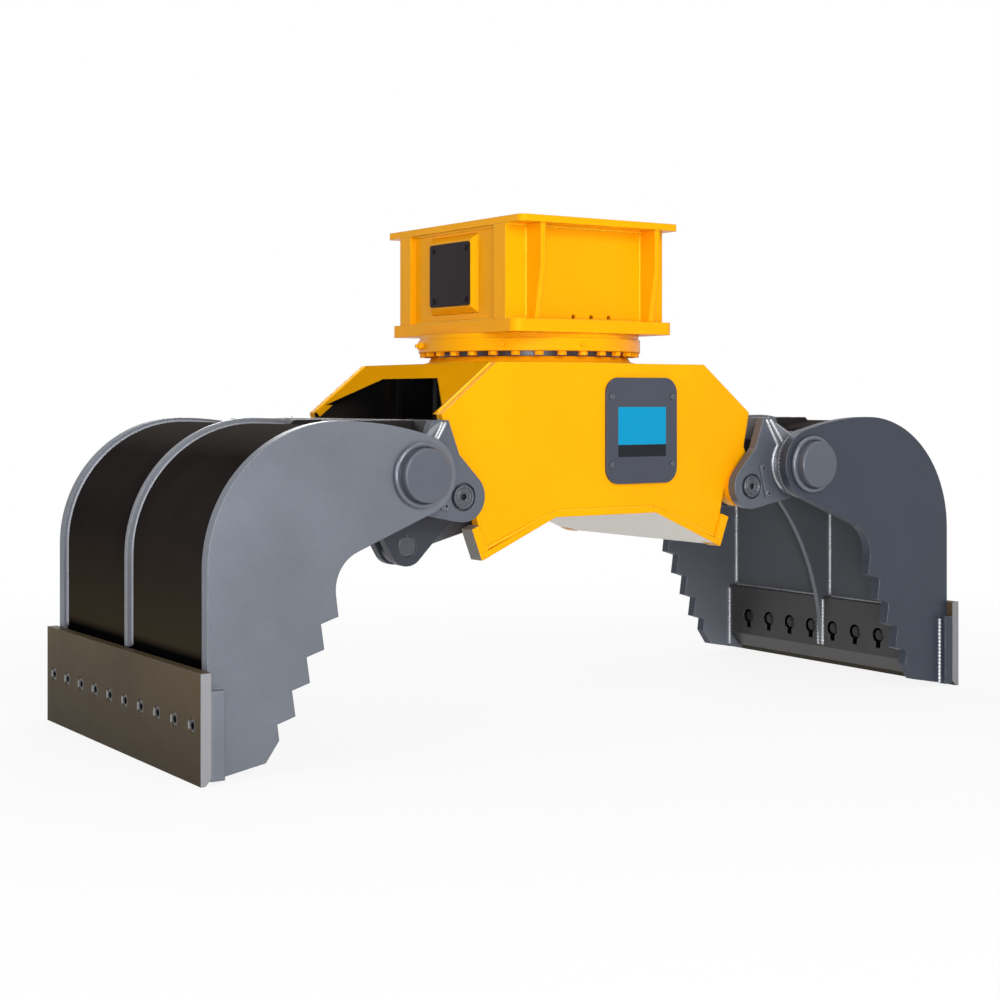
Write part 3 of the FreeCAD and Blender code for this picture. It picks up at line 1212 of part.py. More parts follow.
node("hatch_boxes", [hatch, turned("hatch_left", hatch, 180)])

hatch_middle = (hatch_low + hatch_high) / 2
cover_half_z = (hatch_high - hatch_low) / 2 - d.hatch_bevel - d.cover_margin / 2
cover_half_y = d.hatch_half - d.cover_margin / 4
cover_outline = rounded(cover_half_y, cover_half_z, d.cover_margin, 0, hatch_middle)
hatch_cover = padded("hatch_cover", "YZ_Plane", cover_outline, "cover_thickness")
hatch_cover.setExpression("Placement.Base.x", bound("0 - front_wall_half_x - cover_thickness"))
node("hatch_cover", [hatch_cover])
cover_screws = []
for side_y in (-1, 1):
    for side_z in (-1, 1):
        name = "hatch_screw_%s%s" % ("ab"[side_y > 0], "cd"[side_z > 0])
        screw = cylinder(name, "screw_radius", "screw_head", "X",
                         x="0 - front_wall_half_x - cover_thickness - screw_head")
        screw.Placement.Base.y = side_y * (cover_half_y - d.screw_inset_x)
        screw.Placement.Base.z = hatch_middle + side_z * (cover_half_z - d.screw_inset_x)
        cover_screws.append(screw)
node("hatch_cover_screws", cover_screws)

TOP_Z = "%s + walls_height" % WALL_Z
top_blank = level("top_blank", rounded(d.top_half_x, d.top_half_y, d.top_corner), TOP_Z, "top_thickness")
mount_holes = [cylinder("top_hole", "top_bore", "top_thickness", z=TOP_Z)]
for spacing in ("mount_wide", "mount_close"):
    for side_x in (-1, 1):
        for side_y in (-1, 1):
            name = "%s_%s%s" % (spacing, "ab"[side_x > 0], "cd"[side_y > 0])
            hole = cylinder(name, "mount_hole", "top_thickness", z=TOP_Z,
                            x="%d * %s / 2" % (side_x, spacing), y="%d * mount_long / 2" % side_y)
            mount_holes.append(hole)
node("head_top_plate", [cut("top_plate", top_blank, group("mount_holes", mount_holes))])

# Slewing drive and rotary union
motor_flange = cylinder("motor_flange", "motor_flange", "motor_flange_height", y=MOTOR_Y, z=WALL_Z)
motor_body = cylinder("motor_body", "motor_radius", "motor_height", y=MOTOR_Y,
                      z="%s + motor_flange_height" % WALL_Z)
shaft_room = cylinder("shaft_room", "shaft_radius + pin_clearance", "motor_flange_height", y=MOTOR_Y,
                      z=WALL_Z)
node("slewing_motor", [cut("motor_case", fuse("motor", [motor_flange, motor_body]), shaft_room)])

PINION_Z = "%s + ( ring_gear_height - pinion_height ) / 2" % RING_Z
pinion_blank = level("pinion_blank", gear_outline(d.pinion_teeth, pinion_pitch - root_depth,
                                                  pinion_pitch + d.gear_module, tooth_thickness, 0),
                     PINION_Z, "pinion_height")
placed(pinion_blank, y=MOTOR_Y)
pinion_shaft = cylinder("pinion_shaft", "shaft_radius", "%s - ( %s ) + motor_flange_height - shaft_end"
                        % (WALL_Z, PINION_Z), y=MOTOR_Y, z=PINION_Z)
pinion = fuse("pinion", [pinion_blank, pinion_shaft])
node("drive_pinion", [pinion])

stem_foot = cylinder("stem_foot", "stem_foot_radius", "stem_foot_height", z="cheek_top_z")
stem_bar = cylinder("stem_bar", "stem_radius", "stem_height", z="cheek_top_z")
node("union_stem", [fuse("stem", [stem_foot, stem_bar])])
union_bar = cylinder("union_bar", "union_radius", "union_height", z=WALL_Z)
union_bore = cylinder("union_bore", "stem_radius + union_clearance", "union_height", z=WALL_Z)
node("rotary_union", [cut("union", union_bar, union_bore)])


# Cylinders: the front one has its barrel on the left lever, the rear one is turned half a turn
def eye(name, side):
    """Cylinder eye with its neck: side -1 on the left lever pin, 1 on the right one."""
    disc = cylinder(name + "_disc", "eye_radius", "eye_width", "Y",
                    x="%d * ( %s )" % (side, LEVER_X), y="0 - cylinder_y - eye_width / 2", z=LEVER_Z)
    start = "0 - ( %s )" % LEVER_X if side < 0 else "%s - barrel_start" % LEVER_X
    neck = box(name + "_neck", "barrel_start", "neck_width", "2 * neck_half", x=start,
               y="0 - cylinder_y - neck_width / 2", z="%s - neck_half" % LEVER_Z)
    bore = cylinder(name + "_bore", "lever_pin_radius + pin_clearance", "eye_width", "Y",
                    x="%d * ( %s )" % (side, LEVER_X), y="0 - cylinder_y - eye_width / 2", z=LEVER_Z)
    return [disc, neck], bore


BARREL_X = "barrel_start - ( %s )" % LEVER_X
MOUTH_X = "%s - barrel_end_gap" % LEVER_X
tube_outside = cylinder("barrel_outside", "barrel_radius", "%s - ( %s )" % (MOUTH_X, BARREL_X), "X",
                        x=BARREL_X, y="0 - cylinder_y", z=LEVER_Z)
BORE_X = "%s + barrel_floor" % BARREL_X
tube_inside = cylinder("barrel_inside", "barrel_radius - barrel_wall", "%s - ( %s )" % (MOUTH_X, BORE_X), "X",
                       x=BORE_X, y="0 - cylinder_y", z=LEVER_Z)
left_eye, left_bore = eye("barrel_eye", -1)
barrel_blank = fuse("barrel_blank", [tube_outside] + left_eye)
barrel = cut("barrel", barrel_blank, fuse("barrel_room", [tube_inside, left_bore]))
gland_bar = cylinder("gland_bar", "barrel_radius - barrel_wall", "gland_length", "X",
                     x="%s - gland_length" % MOUTH_X, y="0 - cylinder_y", z=LEVER_Z)
gland_bore = cylinder("gland_bore", "rod_radius + piston_gap", "gland_length", "X",
                      x="%s - gland_length" % MOUTH_X, y="0 - cylinder_y", z=LEVER_Z)
gland = cut("gland", gland_bar, gland_bore)
PISTON_X = "%s + retract_gap" % BORE_X
piston = cylinder("piston", "barrel_radius - barrel_wall - piston_gap", "piston_length", "X",
                  x=PISTON_X, y="0 - cylinder_y", z=LEVER_Z)
rod_bar = cylinder("rod_bar", "rod_radius", "%s - barrel_start / 2 - ( %s )" % (LEVER_X, PISTON_X), "X",
                   x=PISTON_X, y="0 - cylinder_y", z=LEVER_Z)
right_eye, right_bore = eye("rod_eye", 1)
rod_eye = cut("rod_eye", cut("rod_eye_trim", fuse("rod_eye_blank", right_eye), rod_bar), right_bore)
rod = cut("rod", fuse("rod_blank", [rod_bar, piston]), right_bore)
node("front_barrel", [barrel, gland])
node("front_rod", [rod])
node("front_rod_eye", [rod_eye])
node("rear_barrel", [barrel, gland], 180)
node("rear_rod", [rod], 180)
node("rear_rod_eye", [rod_eye], 180)

# Sync link from the left jaw's lug to the right jaw's front lever pin, with a slot at its open end
LINK_LEFT = (-LUG_PIN[0], LUG_PIN[1])
LINK_RIGHT = LEVER_PIN
LINK_TOP = (LEVER_PIN[0], LEVER_PIN[1] + d.link_slot_length)


def capsule(low, high, radius):
    """Outline round two equal circles, one above the other."""
    outline = Outline(low[0] + radius, low[1])
    outline.line(high[0] + radius, high[1])
    outline.arc(high, high[0] - radius, high[1], False)
    outline.line(low[0] - radius, low[1])
    outline.arc(low, low[0] + radius, low[1], False)
    return outline.close()


def link_bar_outline():
    """Straight bar between the two pins of the sync link."""
    run = heading(LINK_LEFT, LINK_RIGHT)
    half = d.link_half_height
    lower = [polar(x, z, half, run - 90) for x, z in (LINK_LEFT, LINK_RIGHT)]
    upper = [polar(x, z, half, run + 90) for x, z in (LINK_RIGHT, LINK_LEFT)]
    return polygon(lower + upper)


LINK_OUTER = "( lever_near_outer + lever_mid_outer - lever_thickness ) / 2 + link_thickness / 2"
link_bar = plate("link_bar", link_bar_outline(), LINK_OUTER, "link_thickness")
link_eye = cylinder("link_eye", "link_eye_radius", "link_thickness", "Y",
                    x="0 - ( %s )" % LUG_X, y="0 - ( %s )" % LINK_OUTER, z=LUG_Z)
link_head = plate("link_head", capsule(LINK_RIGHT, LINK_TOP, d.link_eye_radius), LINK_OUTER, "link_thickness")
link_bore = cylinder("link_bore", "lever_pin_radius + pin_clearance", "link_thickness", "Y",
                     x="0 - ( %s )" % LUG_X, y="0 - ( %s )" % LINK_OUTER, z=LUG_Z)
slot = plate("slot", capsule(LINK_RIGHT, LINK_TOP, d.lever_pin_radius + d.link_slot_play), LINK_OUTER,
             "link_thickness")
link = cut("link", fuse("link_blank", [link_bar, link_eye, link_head]), fuse("link_holes", [link_bore, slot]))
node("sync_link", [link])

# Build, check and write the sub-parts
doc.recompute()
for item in doc.Objects:
    if "Invalid" in item.State or "Error" in item.State:
        raise RuntimeError("%s is %s" % (item.Name, item.State))
for item in sub_parts:
    shape = item.Shape
    if shape.isNull() or not shape.isValid() or not shape.Solids:
        raise RuntimeError("%s has no sound shape" % item.Label)
    shape.exportStep("parts/%s.step" % item.Label)
print("%d sub-parts written" % len(sub_parts))
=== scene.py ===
import math

import bmesh
import bpy
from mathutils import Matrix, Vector


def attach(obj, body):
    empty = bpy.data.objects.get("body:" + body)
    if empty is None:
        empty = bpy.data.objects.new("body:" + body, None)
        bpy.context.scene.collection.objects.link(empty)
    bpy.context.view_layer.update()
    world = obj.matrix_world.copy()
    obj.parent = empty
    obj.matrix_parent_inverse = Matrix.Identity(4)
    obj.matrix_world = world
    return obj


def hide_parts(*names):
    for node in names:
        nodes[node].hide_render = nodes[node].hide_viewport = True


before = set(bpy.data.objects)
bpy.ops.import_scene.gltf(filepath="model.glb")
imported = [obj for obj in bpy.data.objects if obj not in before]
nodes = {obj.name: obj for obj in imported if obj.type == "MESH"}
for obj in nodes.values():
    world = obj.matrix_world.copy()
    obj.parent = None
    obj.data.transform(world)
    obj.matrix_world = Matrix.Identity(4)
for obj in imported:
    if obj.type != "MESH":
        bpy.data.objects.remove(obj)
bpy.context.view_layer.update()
scene = bpy.context.scene
scene.view_settings.view_transform = "Standard"
JAWS = (("right", 1), ("left", -1))
FLANKS = (("near", -1), ("far", 1))
X, Y, Z = 0, 1, 2

# Camera
CAMERA_AT = (-2.59335, -3.69486, 0.78408)
CAMERA_YAW = 34.1
FOCAL_PIXELS = 1733.6
FRAME_PIXELS = 1000.0
HORIZON_ROW = 400.3
SENSOR = 36.0

camera_data = bpy.data.cameras.new("camera")
camera_data.sensor_width = SENSOR
camera_data.lens = FOCAL_PIXELS / FRAME_PIXELS * SENSOR
camera_data.shift_y = (HORIZON_ROW - FRAME_PIXELS / 2) / FRAME_PIXELS
camera = bpy.data.objects.new("camera", camera_data)
camera.location = CAMERA_AT
camera.rotation_euler = (math.radians(90), 0, math.radians(-CAMERA_YAW))
scene.collection.objects.link(camera)
scene.camera = camera


# Lights
def area_light(name, at, aim, size, watts):
    data = bpy.data.lights.new(name, "AREA")
    data.shape = "DISK"
    data.size = size
    data.energy = watts
    lamp = bpy.data.objects.new(name, data)
    lamp.location = at
    lamp.rotation_euler = (Vector(aim) - Vector(at)).to_track_quat("-Z", "Y").to_euler()
    scene.collection.objects.link(lamp)


area_light("key", at=(-1.0, -5.2, 2.6), aim=(-0.3, 0.0, 0.6), size=2.4, watts=150)
area_light("left", at=(-4.6, -1.6, 2.4), aim=(-0.6, 0.0, 0.6), size=2.0, watts=50)
area_light("low", at=(-2.6, -4.2, 0.5), aim=(0.9, 0.0, 0.45), size=1.2, watts=85)
area_light("top", at=(0.3, 0.4, 4.4), aim=(0.0, 0.0, 0.6), size=2.6, watts=28)
area_light("back", at=(1.6, 4.2, 2.6), aim=(0.0, 0.0, 0.6), size=2.4, watts=90)

# Node trees
WHITE = (1.0, 1.0, 1.0, 1.0)
MIX_A, MIX_B, MIX_RESULT = 6, 7, 2
EDGE_SAMPLES = 4
EDGE_START, EDGE_FULL = 0.995, 0.80


class Tree:
    """Short calls for building a node tree."""

    def __init__(self, owner):
        owner.use_nodes = True
        self.nodes = owner.node_tree.nodes
        self.links = owner.node_tree.links
        self.nodes.clear()

    def add(self, kind, **settings):
        node = self.nodes.new(kind)
        for name, value in settings.items():
            setattr(node, name, value)
        return node

    def join(self, source, target):
        self.links.new(source, target)

    def put(self, target, value):
        if isinstance(value, bpy.types.NodeSocket):
            self.join(value, target)
        elif value is not None:
            target.default_value = value

    def math(self, operation, a, b=None):
        node = self.add("ShaderNodeMath", operation=operation)
        for socket, value in zip(node.inputs, (a, b)):
            self.put(socket, value)
        return node.outputs[0]

    def both(self, a, b):
        return self.math("MULTIPLY", a, b)

    def above(self, value, limit):
        return self.math("GREATER_THAN", value, limit)

    def below(self, value, limit):
        return self.math("LESS_THAN", value, limit)

    def within(self, value, low, high):
        return self.both(self.above(value, low), self.below(value, high))

    def mix(self, factor, a, b):
        node = self.add("ShaderNodeMix", data_type="RGBA")
        self.put(node.inputs["Factor"], factor)
        for number, value in ((MIX_A, a), (MIX_B, b)):
            self.put(node.inputs[number], value + (1.0,) if isinstance(value, tuple) else value)
        return node.outputs[MIX_RESULT]

    def ramp(self, value, low, high, out_low=0.0, out_high=1.0):
        node = self.add("ShaderNodeMapRange", clamp=True)
        for socket, number in zip(node.inputs, (value, low, high, out_low, out_high)):
            self.put(socket, number)
        return node.outputs[0]

    def noise(self, place, scale, detail, roughness=0.55):
        node = self.add("ShaderNodeTexNoise")
        self.put(node.inputs["Vector"], place)
        node.inputs["Scale"].default_value = scale
        node.inputs["Detail"].default_value = detail
        node.inputs["Roughness"].default_value = roughness
        return node.outputs["Fac"]

    def place(self):
        """Object coordinates, so that the pattern moves with its piece."""
        return self.add("ShaderNodeTexCoord").outputs["Object"]

    def split(self, vector):
        node = self.add("ShaderNodeSeparateXYZ")
        self.join(vector, node.inputs[0])
        return node.outputs

    def at(self, axis):
        return self.split(self.place())[axis]

    def facing(self, axis):
        """The normal's component along an axis of the piece, which moves with it."""
        geometry = self.add("ShaderNodeNewGeometry")
        turned = self.add("ShaderNodeVectorTransform", vector_type="NORMAL",
                          convert_from="WORLD", convert_to="OBJECT")
        self.join(geometry.outputs["True Normal"], turned.inputs[0])
        return self.split(turned.outputs[0])[axis]

    def outward(self, axis):
        """The normal's component away from the middle of the piece, along an axis."""
        return self.both(self.math("SIGN", self.at(axis)), self.facing(axis))

    def edges(self, width):
        """Rounded normal and a mask that is 1 on sharp edges."""
        bevel = self.add("ShaderNodeBevel", samples=EDGE_SAMPLES)
        bevel.inputs["Radius"].default_value = width
        geometry = self.add("ShaderNodeNewGeometry")
        dot = self.add("ShaderNodeVectorMath", operation="DOT_PRODUCT")
        self.join(bevel.outputs[0], dot.inputs[0])
        self.join(geometry.outputs["Normal"], dot.inputs[1])
        return bevel.outputs[0], self.ramp(dot.outputs["Value"], EDGE_START, EDGE_FULL)


def shaded(colour, factor):
    return tuple(c * factor for c in colour)


PATCH_SCALE, PATCH_DETAIL, PATCH_RANGE = 4.0, 4.0, (0.3, 0.7)
GRAIN_DETAIL, SPECK_RANGE = 2.0, (0.35, 0.65)
SPECK_SHARE, SPECK_LEAST, SPECK_SHADE = 0.22, 0.15, 0.55
SCRATCH_SCALE, SCRATCH_DETAIL, SCRATCH_ROUGHNESS, SCRATCH_RANGE = 60.0, 5.0, 0.7, (0.35, 0.62)
SMEAR_SCALE, SMEAR_DETAIL, SMEAR_SPREAD = 22.0, 4.0, 0.16
BUMP_LEAST, BUMP_PER_GRAIN, BUMP_DEPTH = 0.05, 0.45, 0.0006


def surface(name, colour, rough, metallic=0.0, specular=0.5, tint=None, grain=0.0, grain_scale=900.0,
            variation=0.12, edge_colour=None, edge_amount=0.4, edge_width=0.004, dress=None):
    """Painted or bare metal: mottled colour, fine grain, uneven gloss, and edges lightened in patches, partly
    by wear and partly as a painted highlight.
    """
    material = bpy.data.materials.new(name)
    tree = Tree(material)
    place = tree.place()
    normal, edge = tree.edges(edge_width)
    patch = tree.ramp(tree.noise(place, PATCH_SCALE, PATCH_DETAIL), *PATCH_RANGE)
    light = tuple(min(1.0, c * (1 + variation)) for c in colour)
    shade = tree.mix(patch, shaded(colour, 1 - variation), light)
    fine = tree.noise(place, grain_scale, GRAIN_DETAIL)
    speck = tree.both(tree.ramp(fine, *SPECK_RANGE), SPECK_SHARE * min(1.0, grain + SPECK_LEAST))
    shade = tree.mix(speck, shade, shaded(colour, SPECK_SHADE))
    if dress:
        shade = dress(tree, shade)
    # Edges lightened in patches: partly wear, partly painted highlight
    scratches = tree.noise(place, SCRATCH_SCALE, SCRATCH_DETAIL, SCRATCH_ROUGHNESS)
    worn_and_highlit = tree.both(edge, tree.ramp(scratches, *SCRATCH_RANGE))
    shade = tree.mix(tree.both(worn_and_highlit, edge_amount), shade, edge_colour or light)
    smear = tree.both(tree.noise(place, SMEAR_SCALE, SMEAR_DETAIL), SMEAR_SPREAD)
    gloss = tree.math("ADD", smear, rough - SMEAR_SPREAD / 2)
    bump = tree.add("ShaderNodeBump")
    bump.inputs["Strength"].default_value = BUMP_LEAST + BUMP_PER_GRAIN * grain
    bump.inputs["Distance"].default_value = BUMP_DEPTH
    tree.join(fine, bump.inputs["Height"])
    tree.join(normal, bump.inputs["Normal"])
    shader = tree.add("ShaderNodeBsdfPrincipled")
    tree.join(shade, shader.inputs["Base Color"])
    tree.join(gloss, shader.inputs["Roughness"])
    tree.join(bump.outputs[0], shader.inputs["Normal"])
    shader.inputs["Metallic"].default_value = metallic
    shader.inputs["Specular IOR Level"].default_value = specular
    if tint:
        shader.inputs["Specular Tint"].default_value = tint + (1.0,)
    output = tree.add("ShaderNodeOutputMaterial")
    tree.join(shader.outputs[0], output.inputs["Surface"])
    return material


# World: white where it is seen, dimmer as a light
WORLD_LIGHT = 0.32

world = bpy.data.worlds.new("studio")
scene.world = world
tree = Tree(world)
path = tree.add("ShaderNodeLightPath")
mirrored = tree.math("MAXIMUM", path.outputs["Is Glossy Ray"], path.outputs["Is Transmission Ray"])
seen = tree.math("MAXIMUM", path.outputs["Is Camera Ray"], mirrored)
background = tree.add("ShaderNodeBackground")
background.inputs["Color"].default_value = WHITE
tree.join(tree.ramp(seen, 0.0, 1.0, WORLD_LIGHT, 1.0), background.inputs["Strength"])
tree.join(background.outputs[0], tree.add("ShaderNodeOutputWorld").inputs["Surface"])

# Floor: white, with a faint shadow that fades away from the object
FLOOR_REACH, FLOOR_DROP = 40.0, 0.0005
FLOOR_DARK, FLOOR_LIGHT = (0.82, 0.82, 0.82), (0.86, 0.86, 0.86)
SHADOW_REACH, SHADOW_END = 1.4, 3.2
GLOW_SHARE = 0.88

corners = [(x * FLOOR_REACH, y * FLOOR_REACH, 0) for x, y in ((-1, -1), (1, -1), (1, 1), (-1, 1))]
floor_mesh = bpy.data.meshes.new("floor")
floor_mesh.from_pydata(corners, [], [(0, 1, 2, 3)])
floor = bpy.data.objects.new("floor", floor_mesh)
floor.location.z = -FLOOR_DROP
scene.collection.objects.link(floor)
floor_material = bpy.data.materials.new("floor_white")
tree = Tree(floor_material)
ground = tree.place()
diffuse = tree.add("ShaderNodeBsdfDiffuse")
mottle = tree.mix(tree.noise(ground, 3.0, 2.0), FLOOR_DARK, FLOOR_LIGHT)
tree.join(mottle, diffuse.inputs["Color"])
glow = tree.add("ShaderNodeEmission")
glow.inputs["Color"].default_value = WHITE
path = tree.add("ShaderNodeLightPath")
seen = tree.math("MAXIMUM", path.outputs["Is Camera Ray"], path.outputs["Is Glossy Ray"])
spot = tree.split(ground)
away = tree.math("SQRT", tree.math("ADD", tree.both(spot[X], spot[X]), tree.both(spot[Y], spot[Y])))
blend = tree.add("ShaderNodeMixShader")
tree.join(tree.both(seen, tree.ramp(away, SHADOW_REACH, SHADOW_END, GLOW_SHARE, 1.0)), blend.inputs[0])
tree.join(diffuse.outputs[0], blend.inputs[1])
tree.join(glow.outputs[0], blend.inputs[2])
tree.join(blend.outputs[0], tree.add("ShaderNodeOutputMaterial").inputs["Surface"])
floor_mesh.materials.append(floor_material)

# Colours
YELLOW = (0.90, 0.385, 0.002)
# Painted shade: the sloped plates and deck are darker than the rest of the yellow
YELLOW_SLOPE_SHADED = (0.74, 0.32, 0.002)
# Edge colours here and below lighten edges: partly wear, partly painted highlight
YELLOW_EDGE = (1.0, 0.54, 0.03)
YELLOW_GLINT = (1.0, 0.62, 0.12)
YELLOW_BEAD = (0.95, 0.50, 0.01)
GREY = (0.150, 0.163, 0.192)
GREY_EDGE = (0.34, 0.36, 0.40)
# Painted shade: the right jaw's side plates are darker than the left jaw's
RIGHT_GREY_SHADED = (0.048, 0.056, 0.077)
# Painted light on the inner faces of the right jaw's side plates
PLATE_INSIDE_LIT = (0.21, 0.228, 0.266)
LUG_GREY = (0.043, 0.047, 0.060)
EAR_GREY = (0.10, 0.11, 0.135)
CLOSING_GREY = (0.42, 0.425, 0.44)
WING_GREY, WING_EDGE = (0.17, 0.18, 0.20), (0.45, 0.46, 0.48)
RIB_GREY = (0.185, 0.195, 0.22)
BAR_GREY, BAR_EDGE = (0.068, 0.066, 0.065), (0.2, 0.2, 0.2)
BLACK, BLACK_EDGE = (0.019, 0.0155, 0.015), (0.05, 0.05, 0.055)
# Painted light on the shell's back: a brown reflection of the ground, a shadow at the blade and a sheen on
# the crown
SHELL_LOW_REFLECTION = (0.040, 0.031, 0.020)
SHELL_SHADE = (0.002, 0.002, 0.002)
SHELL_CROWN_SHEEN = (0.052, 0.046, 0.042)
INSIDE = (0.012, 0.011, 0.012)
# Painted light: the lighter grey of the faces in the jaw's bowl
JAW_INSIDE_LIT = (0.140, 0.146, 0.165)
PAD_GREY = (0.23, 0.225, 0.215)
UNDERSIDE = (0.79, 0.765, 0.715)
BLADE, BLADE_EDGE, BLADE_END = (0.090, 0.066, 0.038), (0.25, 0.23, 0.2), (0.245, 0.25, 0.26)
BOLT_BLACK, BOLT_EDGE = (0.010, 0.010, 0.011), (0.05, 0.05, 0.05)
STEEL, DARK_STEEL, CHROME = (0.30, 0.31, 0.33), (0.09, 0.095, 0.11), (0.72, 0.72, 0.74)
HATCH_BLACK, PAINT_BLACK, SOCKET_SHADE = (0.015, 0.011, 0.014), (0.012, 0.012, 0.013), (0.003,) * 3
PLATE_GREY, PLATE_EDGE = (0.060, 0.066, 0.086), (0.2, 0.21, 0.24)
PLATE_BLUE, PLATE_BAND = (0.003, 0.26, 0.48), (0.012, 0.014, 0.018)
# The lighter weld colour is a painted highlight on the beads
BEAD_GREY, BEAD_HIGHLIT = (0.22, 0.23, 0.26), (0.60, 0.61, 0.64)
COLLAR_GREY = (0.135, 0.145, 0.175)
PIN_GREY, PIN_EDGE = (0.078, 0.084, 0.102), (0.55, 0.56, 0.60)
KEEPER_GREY, KEEPER_EDGE = (0.11, 0.12, 0.145), (0.50, 0.51, 0.55)

# Where a dress changes colour, in metres
BOWL_X, BOWL_Z = 0.70, 0.30
CROWN_LOW, CROWN_TOP = 0.660, 0.738
BROWN_LOW, BROWN_TOP = 0.25, 0.50
BLADE_LINE_LOW, BLADE_LINE_TOP = 0.243, 0.262
POCKET_DEEP_X, POCKET_LOW_Z, POCKET_TOP_Z = 1.0515, 0.060, 0.150
MIDDLE_RIB_HALF = 0.02
LIP_INNER_Y = 0.298
BLADE_TOP, BLADE_FOOT_SHADE = 0.23, 0.55
FIELD_X = (0.0355, 0.1863)
FIELD_Z = (0.6744, 0.7676)
BAND_Z = (0.6443, 0.6744)

# How far a normal has to lean towards a direction to count as facing it
MOSTLY, PARTLY, HALFWAY, SLOPING, BARELY = 0.7, 0.6, 0.5, 0.3, 0.1


def looks_inward(tree):
    """1 on the jaw's faces that look into the jaw's bowl."""
    place = tree.split(tree.place())
    out = tree.math("SUBTRACT", tree.math("ABSOLUTE", place[X]), BOWL_X)
    along = tree.both(tree.both(tree.math("SIGN", place[X]), tree.facing(X)), out)
    rise = tree.both(tree.facing(Z), tree.math("SUBTRACT", place[Z], BOWL_Z))
    return tree.below(tree.math("ADD", along, rise), 0.0)


def shell_light_and_shade(tree, shade):
    """Black back with painted light: a sheen on the crown, a brown reflection of the ground above the blade,
    a shadow at the blade's top and a lighter dark grey in the bowl.
    """
    up = tree.at(Z)
    # Painted sheen on the crown
    shade = tree.mix(tree.ramp(up, CROWN_LOW, CROWN_TOP), shade, SHELL_CROWN_SHEEN)
    # Painted reflection of the ground, browner and lighter just above the blade
    shade = tree.mix(tree.ramp(up, BROWN_LOW, BROWN_TOP), SHELL_LOW_REFLECTION, shade)
    # Painted shadow in the gap along the blade's top
    shade = tree.mix(tree.ramp(up, BLADE_LINE_LOW, BLADE_LINE_TOP), SHELL_SHADE, shade)
    # Painted light on the faces in the bowl
    return tree.mix(looks_inward(tree), shade, JAW_INSIDE_LIT)


def bar_pocket_shade(tree, shade):
    """Painted shade in the depth of the nut pockets."""
    place = tree.split(tree.place())
    deep = tree.above(tree.math("ABSOLUTE", place[X]), POCKET_DEEP_X)
    return tree.mix(tree.both(deep, tree.within(place[Z], POCKET_LOW_Z, POCKET_TOP_Z)), shade, SHELL_SHADE)


def rib_dress(tree, shade):
    """The middle rib is grey and the ribs over the tube are black."""
    return tree.mix(tree.above(tree.math("ABSOLUTE", tree.at(Y)), MIDDLE_RIB_HALF), shade, BLACK)


def plate_inside_lit(tree, shade):
    """Painted light: a lighter colour on the side plates' inner faces."""
    return tree.mix(tree.below(tree.outward(Y), -PARTLY), shade, PLATE_INSIDE_LIT)


def pad_dress(tree, shade):
    """Bare face of each stop pad, on the side that looks out of the body."""
    bare = tree.math("MAXIMUM", tree.outward(X), tree.facing(Z))
    return tree.mix(tree.above(bare, MOSTLY), shade, PAD_GREY)


def closing_dress(tree, shade):
    """Grey towards the body, black on the back."""
    return tree.mix(tree.above(tree.outward(X), BARELY), shade, BLACK)


def dark_inside(tree, shade):
    """Near-black on the faces that look into the body."""
    return tree.mix(tree.below(tree.outward(Y), -PARTLY), shade, INSIDE)


def dark_below(tree, shade):
    """Near-black on the faces that look down."""
    return tree.mix(tree.below(tree.facing(Z), -SLOPING), shade, INSIDE)


def pale_below(tree, shade):
    """Pale grey on the faces that look down, and near-black on the inside of the underside plates."""
    up = tree.facing(Z)
    shade = tree.mix(tree.below(up, -HALFWAY), shade, UNDERSIDE)
    aside = tree.math("ABSOLUTE", tree.at(Y))
    inside = tree.both(tree.above(up, HALFWAY), tree.below(aside, LIP_INNER_Y))
    return tree.mix(inside, shade, INSIDE)


def blade_dress(tree, shade):
    """Browned face with a painted sheen that lightens it towards the top and painted shade at the foot, and
    bright cut ends.
    """
    # Painted shade at the foot, painted sheen towards the top
    shade = tree.mix(tree.ramp(tree.at(Z), 0.0, BLADE_TOP), shaded(BLADE, BLADE_FOOT_SHADE), shade)
    return tree.mix(tree.above(tree.math("ABSOLUTE", tree.facing(Y)), MOSTLY), shade, BLADE_END)


def plate_dress(tree, shade):
    """Plain blue field over a dark band on the cover plate's front."""
    place = tree.split(tree.place())
    front = tree.both(tree.within(place[X], *FIELD_X), tree.below(tree.facing(Y), -MOSTLY))
    shade = tree.mix(tree.both(front, tree.within(place[Z], *FIELD_Z)), shade, PLATE_BLUE)
    return tree.mix(tree.both(front, tree.within(place[Z], *BAND_Z)), shade, PLATE_BAND)


# Materials of the body and head
def yellow_paint(name, rough=0.34, specular=0.2, dress=None):
    return surface(name, YELLOW, rough, specular=specular, tint=YELLOW_GLINT, grain=0.05, variation=0.04,
                   edge_colour=YELLOW_EDGE, edge_amount=0.7, dress=dress)


yellow = yellow_paint("yellow_paint_sheen", specular=0.22)
yellow_cheek = yellow_paint("yellow_paint_cheek", specular=0.25, dress=dark_inside)
# Same yellow paint, darker as painted shade
yellow_slope_shaded = surface("yellow_paint_slope_shaded", YELLOW_SLOPE_SHADED, 0.38, specular=0.0, variation=0.05, grain=0.05,
                       edge_colour=YELLOW_EDGE, edge_amount=0.6, dress=dark_below)
yellow_under = surface("yellow_paint_under", YELLOW, 0.40, specular=0.2, tint=YELLOW_GLINT, variation=0.06,
                       grain=0.08, edge_colour=YELLOW_EDGE, edge_amount=0.6, dress=pale_below)
yellow_foot = yellow_paint("yellow_paint_foot", rough=0.36, dress=pad_dress)
bead_yellow = surface("weld_yellow", YELLOW_BEAD, 0.26, tint=YELLOW_GLINT, grain=0.2, variation=0.06)
inside_black = surface("inside_near_black", INSIDE, 0.5, specular=0.15, grain=0.1, variation=0.2)
hatch_black = surface("hatch_black", HATCH_BLACK, 0.34, specular=0.08, variation=0.15)
